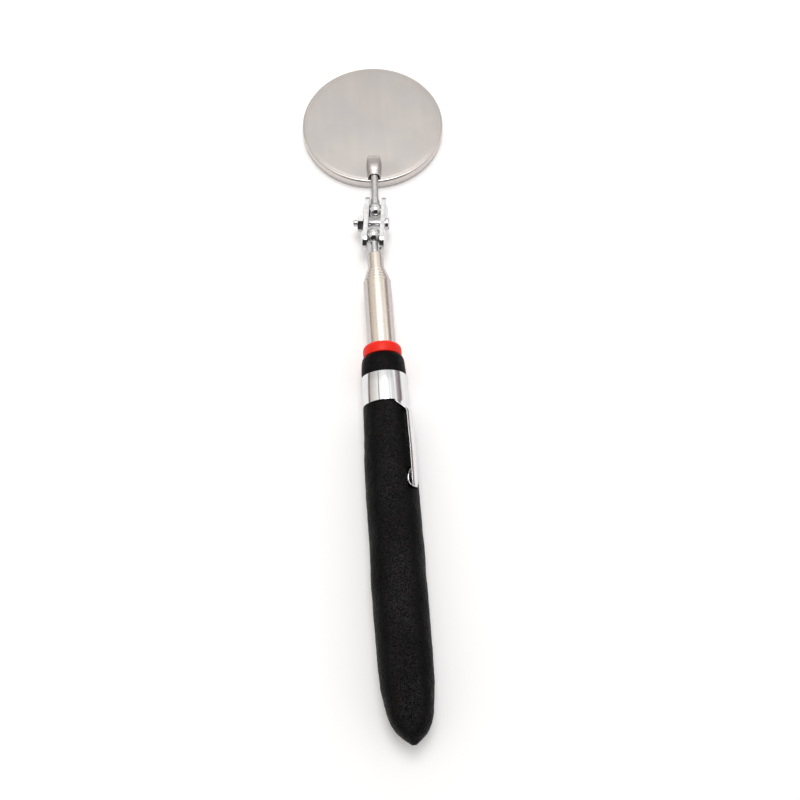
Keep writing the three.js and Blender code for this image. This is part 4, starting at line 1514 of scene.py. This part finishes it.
@dataclass
class Studio:
    """A pale floor, soft light and the camera."""

    effects: Effects
    floor_size: float = 2.4
    camera_place: tuple[float, float, float] = (-6.29, -125.69, 275.26)
    camera_down: float = 67.79
    camera_turn: float = -4.23
    lens: float = 42.04
    strength: float = 1.12
    floor_glow: float = 0.13
    panel_tone: float = 0.8
    far_edge: float = 0.5
    light_size: tuple[float, float] = (0.26, 0.42)
    light_energy: float = 2.4
    light_place: tuple[float, float, float] = (0.02, 0.16, 0.75)

    def floor(self) -> None:
        """Lays the floor."""
        bm = bmesh.new()
        bmesh.ops.create_grid(bm, x_segments=24, y_segments=24, size=self.floor_size / 2)
        made = made_object("bench_top", bm)
        coat = Coat("bench_white", self.effects)
        w = coat.w
        shade = w.ramp(w.noise(coat.place, 3.0, 3), 0.3, 0.7)
        coat.feed("Base Color", w.mix(shade, rgb(0.96, 0.96, 0.965), rgb(0.94, 0.94, 0.95)))
        coat.feed("Roughness", 0.75)
        coat.feed("Specular IOR Level", 0.1)
        seen = w.node("LightPath").outputs["Is Camera Ray"]
        glow = self.floor_glow
        coat.feed("Emission Color", w.mix(seen, rgb(0.0, 0.0, 0.0), rgb(glow, glow, glow)))
        coat.feed("Emission Strength", 1.0)
        coat.feed("Normal", coat.bump(w.noise(coat.place, 900.0, 2), 0.004))
        made.data.materials.append(coat.material)

    def surroundings(self) -> None:
        """Wires the room that the metal mirrors: bright overhead, dark along the horizon."""
        world = bpy.data.worlds.new("room")
        bpy.context.scene.world = world
        world.use_nodes = True
        w = Wiring(world.node_tree)
        way = w.node("TexCoord").outputs["Generated"]
        parts = w.node("SeparateXYZ", {0: way}).outputs
        swing = w.math("ARCTAN2", parts["X"], parts["Z"])
        share = w.math("ADD", w.math("DIVIDE", swing, math.tau), 0.5)
        ramp = w.node("ValToRGB", {0: share})
        stops = [
            (-180, (0.9, 0.9, 0.92)), (-96, (0.85, 0.85, 0.86)), (-92, (0.10, 0.09, 0.09)),
            (-84, (0.12, 0.10, 0.10)), (-78, (0.5, 0.45, 0.41)), (-58, (0.70, 0.65, 0.60)),
            (-38, (0.85, 0.83, 0.80)), (-34.5, (1.15, 1.13, 1.1)), (-33, (0.22, 0.21, 0.22)),
            (-30, (0.22, 0.21, 0.22)), (-28, (1.0, 0.98, 0.96)), (-5, (1.08, 1.06, 1.03)),
            (16, (0.95, 0.94, 0.92)), (24, (0.72, 0.71, 0.70)), (26, (1.2, 1.2, 1.2)),
            (28, (1.2, 1.2, 1.2)), (30, (0.74, 0.73, 0.73)), (47, (0.80, 0.78, 0.76)),
            (51, (1.3, 1.28, 1.25)), (56, (1.3, 1.28, 1.25)), (61, (0.58, 0.55, 0.54)),
            (76, (0.3, 0.24, 0.24)), (95, (0.12, 0.08, 0.09)), (99, (0.8, 0.8, 0.82)),
            (180, (0.9, 0.9, 0.92)),
        ]
        band = ramp.color_ramp
        for _ in range(len(stops) - 2):
            band.elements.new(0.5)
        for element, (degrees, colour) in zip(band.elements, stops):
            element.position = degrees / 360 + 0.5
            element.color = (*colour, 1)
        low_side = w.ramp(parts["Y"], 0.44, 0.56)
        panel = w.math("MULTIPLY", low_side, w.ramp(parts["Y"], 0.74, 0.84, 1.0, 0.0))
        greyed = w.ramp(panel, 0.0, 1.0, 1.0, self.panel_tone)
        behind = w.math("MULTIPLY", greyed, w.ramp(parts["Y"], 0.95, 0.985, 1.0, self.far_edge))
        room = w.node("VectorMath", {0: ramp.outputs[0], "Scale": behind}, operation="SCALE").outputs[0]
        ahead = w.math("MULTIPLY", parts["Y"], -1.0)
        within = w.math("SUBTRACT", ahead, w.math("ABSOLUTE", parts["X"]))
        below = w.ramp(parts["Z"], 0.955, 0.985, 1.0, 0.0)
        figure = w.math("MULTIPLY", w.ramp(within, -0.16, -0.08), below)
        seen = w.mix(figure, room, rgb(0.03, 0.026, 0.028))
        direct = w.node("LightPath").outputs["Is Camera Ray"]
        backdrop = world.node_tree.nodes["Background"]
        w.tree.links.new(w.mix(direct, seen, rgb(0.9, 0.9, 0.91)), backdrop.inputs[0])
        backdrop.inputs[1].default_value = self.strength

    def lights(self) -> None:
        """Hangs one large soft light overhead."""
        data = bpy.data.lights.new("softbox", "AREA")
        data.shape = "RECTANGLE"
        data.size, data.size_y = self.light_size
        data.energy = self.light_energy
        data.color = (1.0, 0.985, 0.97)
        made = bpy.data.objects.new("softbox", data)
        made.location = self.light_place
        bpy.context.scene.collection.objects.link(made)

    def camera(self) -> None:
        """Places the camera above and behind the grip."""
        data = bpy.data.cameras.new("camera")
        data.lens = self.lens
        data.sensor_width = 36
        data.clip_start, data.clip_end = 0.01, 20
        made = bpy.data.objects.new("camera", data)
        made.location = Vector(self.camera_place) * MM
        made.rotation_euler = (math.radians(90 - self.camera_down), 0, math.radians(self.camera_turn))
        bpy.context.scene.collection.objects.link(made)
        bpy.context.scene.camera = made

    def build(self) -> None:
        """Sets up the whole studio."""
        self.floor()
        self.surroundings()
        self.lights()
        self.camera()
        bpy.context.scene.view_settings.view_transform = "Standard"


def main() -> None:
    """Builds the tool and its studio, piece by piece."""
    logging.basicConfig(level=logging.INFO, format="%(message)s")
    effects = Effects()
    finishes = Finishes(effects)
    Studio(effects).build()
    clip = PocketClip(finishes)
    Grip(finishes).build(math.radians(clip.angle))
    Collar(finishes).build()
    clip.build()
    Telescope(finishes).build()
    BallClamp(finishes).build()
    MirrorHead(finishes).build()


if __name__ == "__main__":
    main()
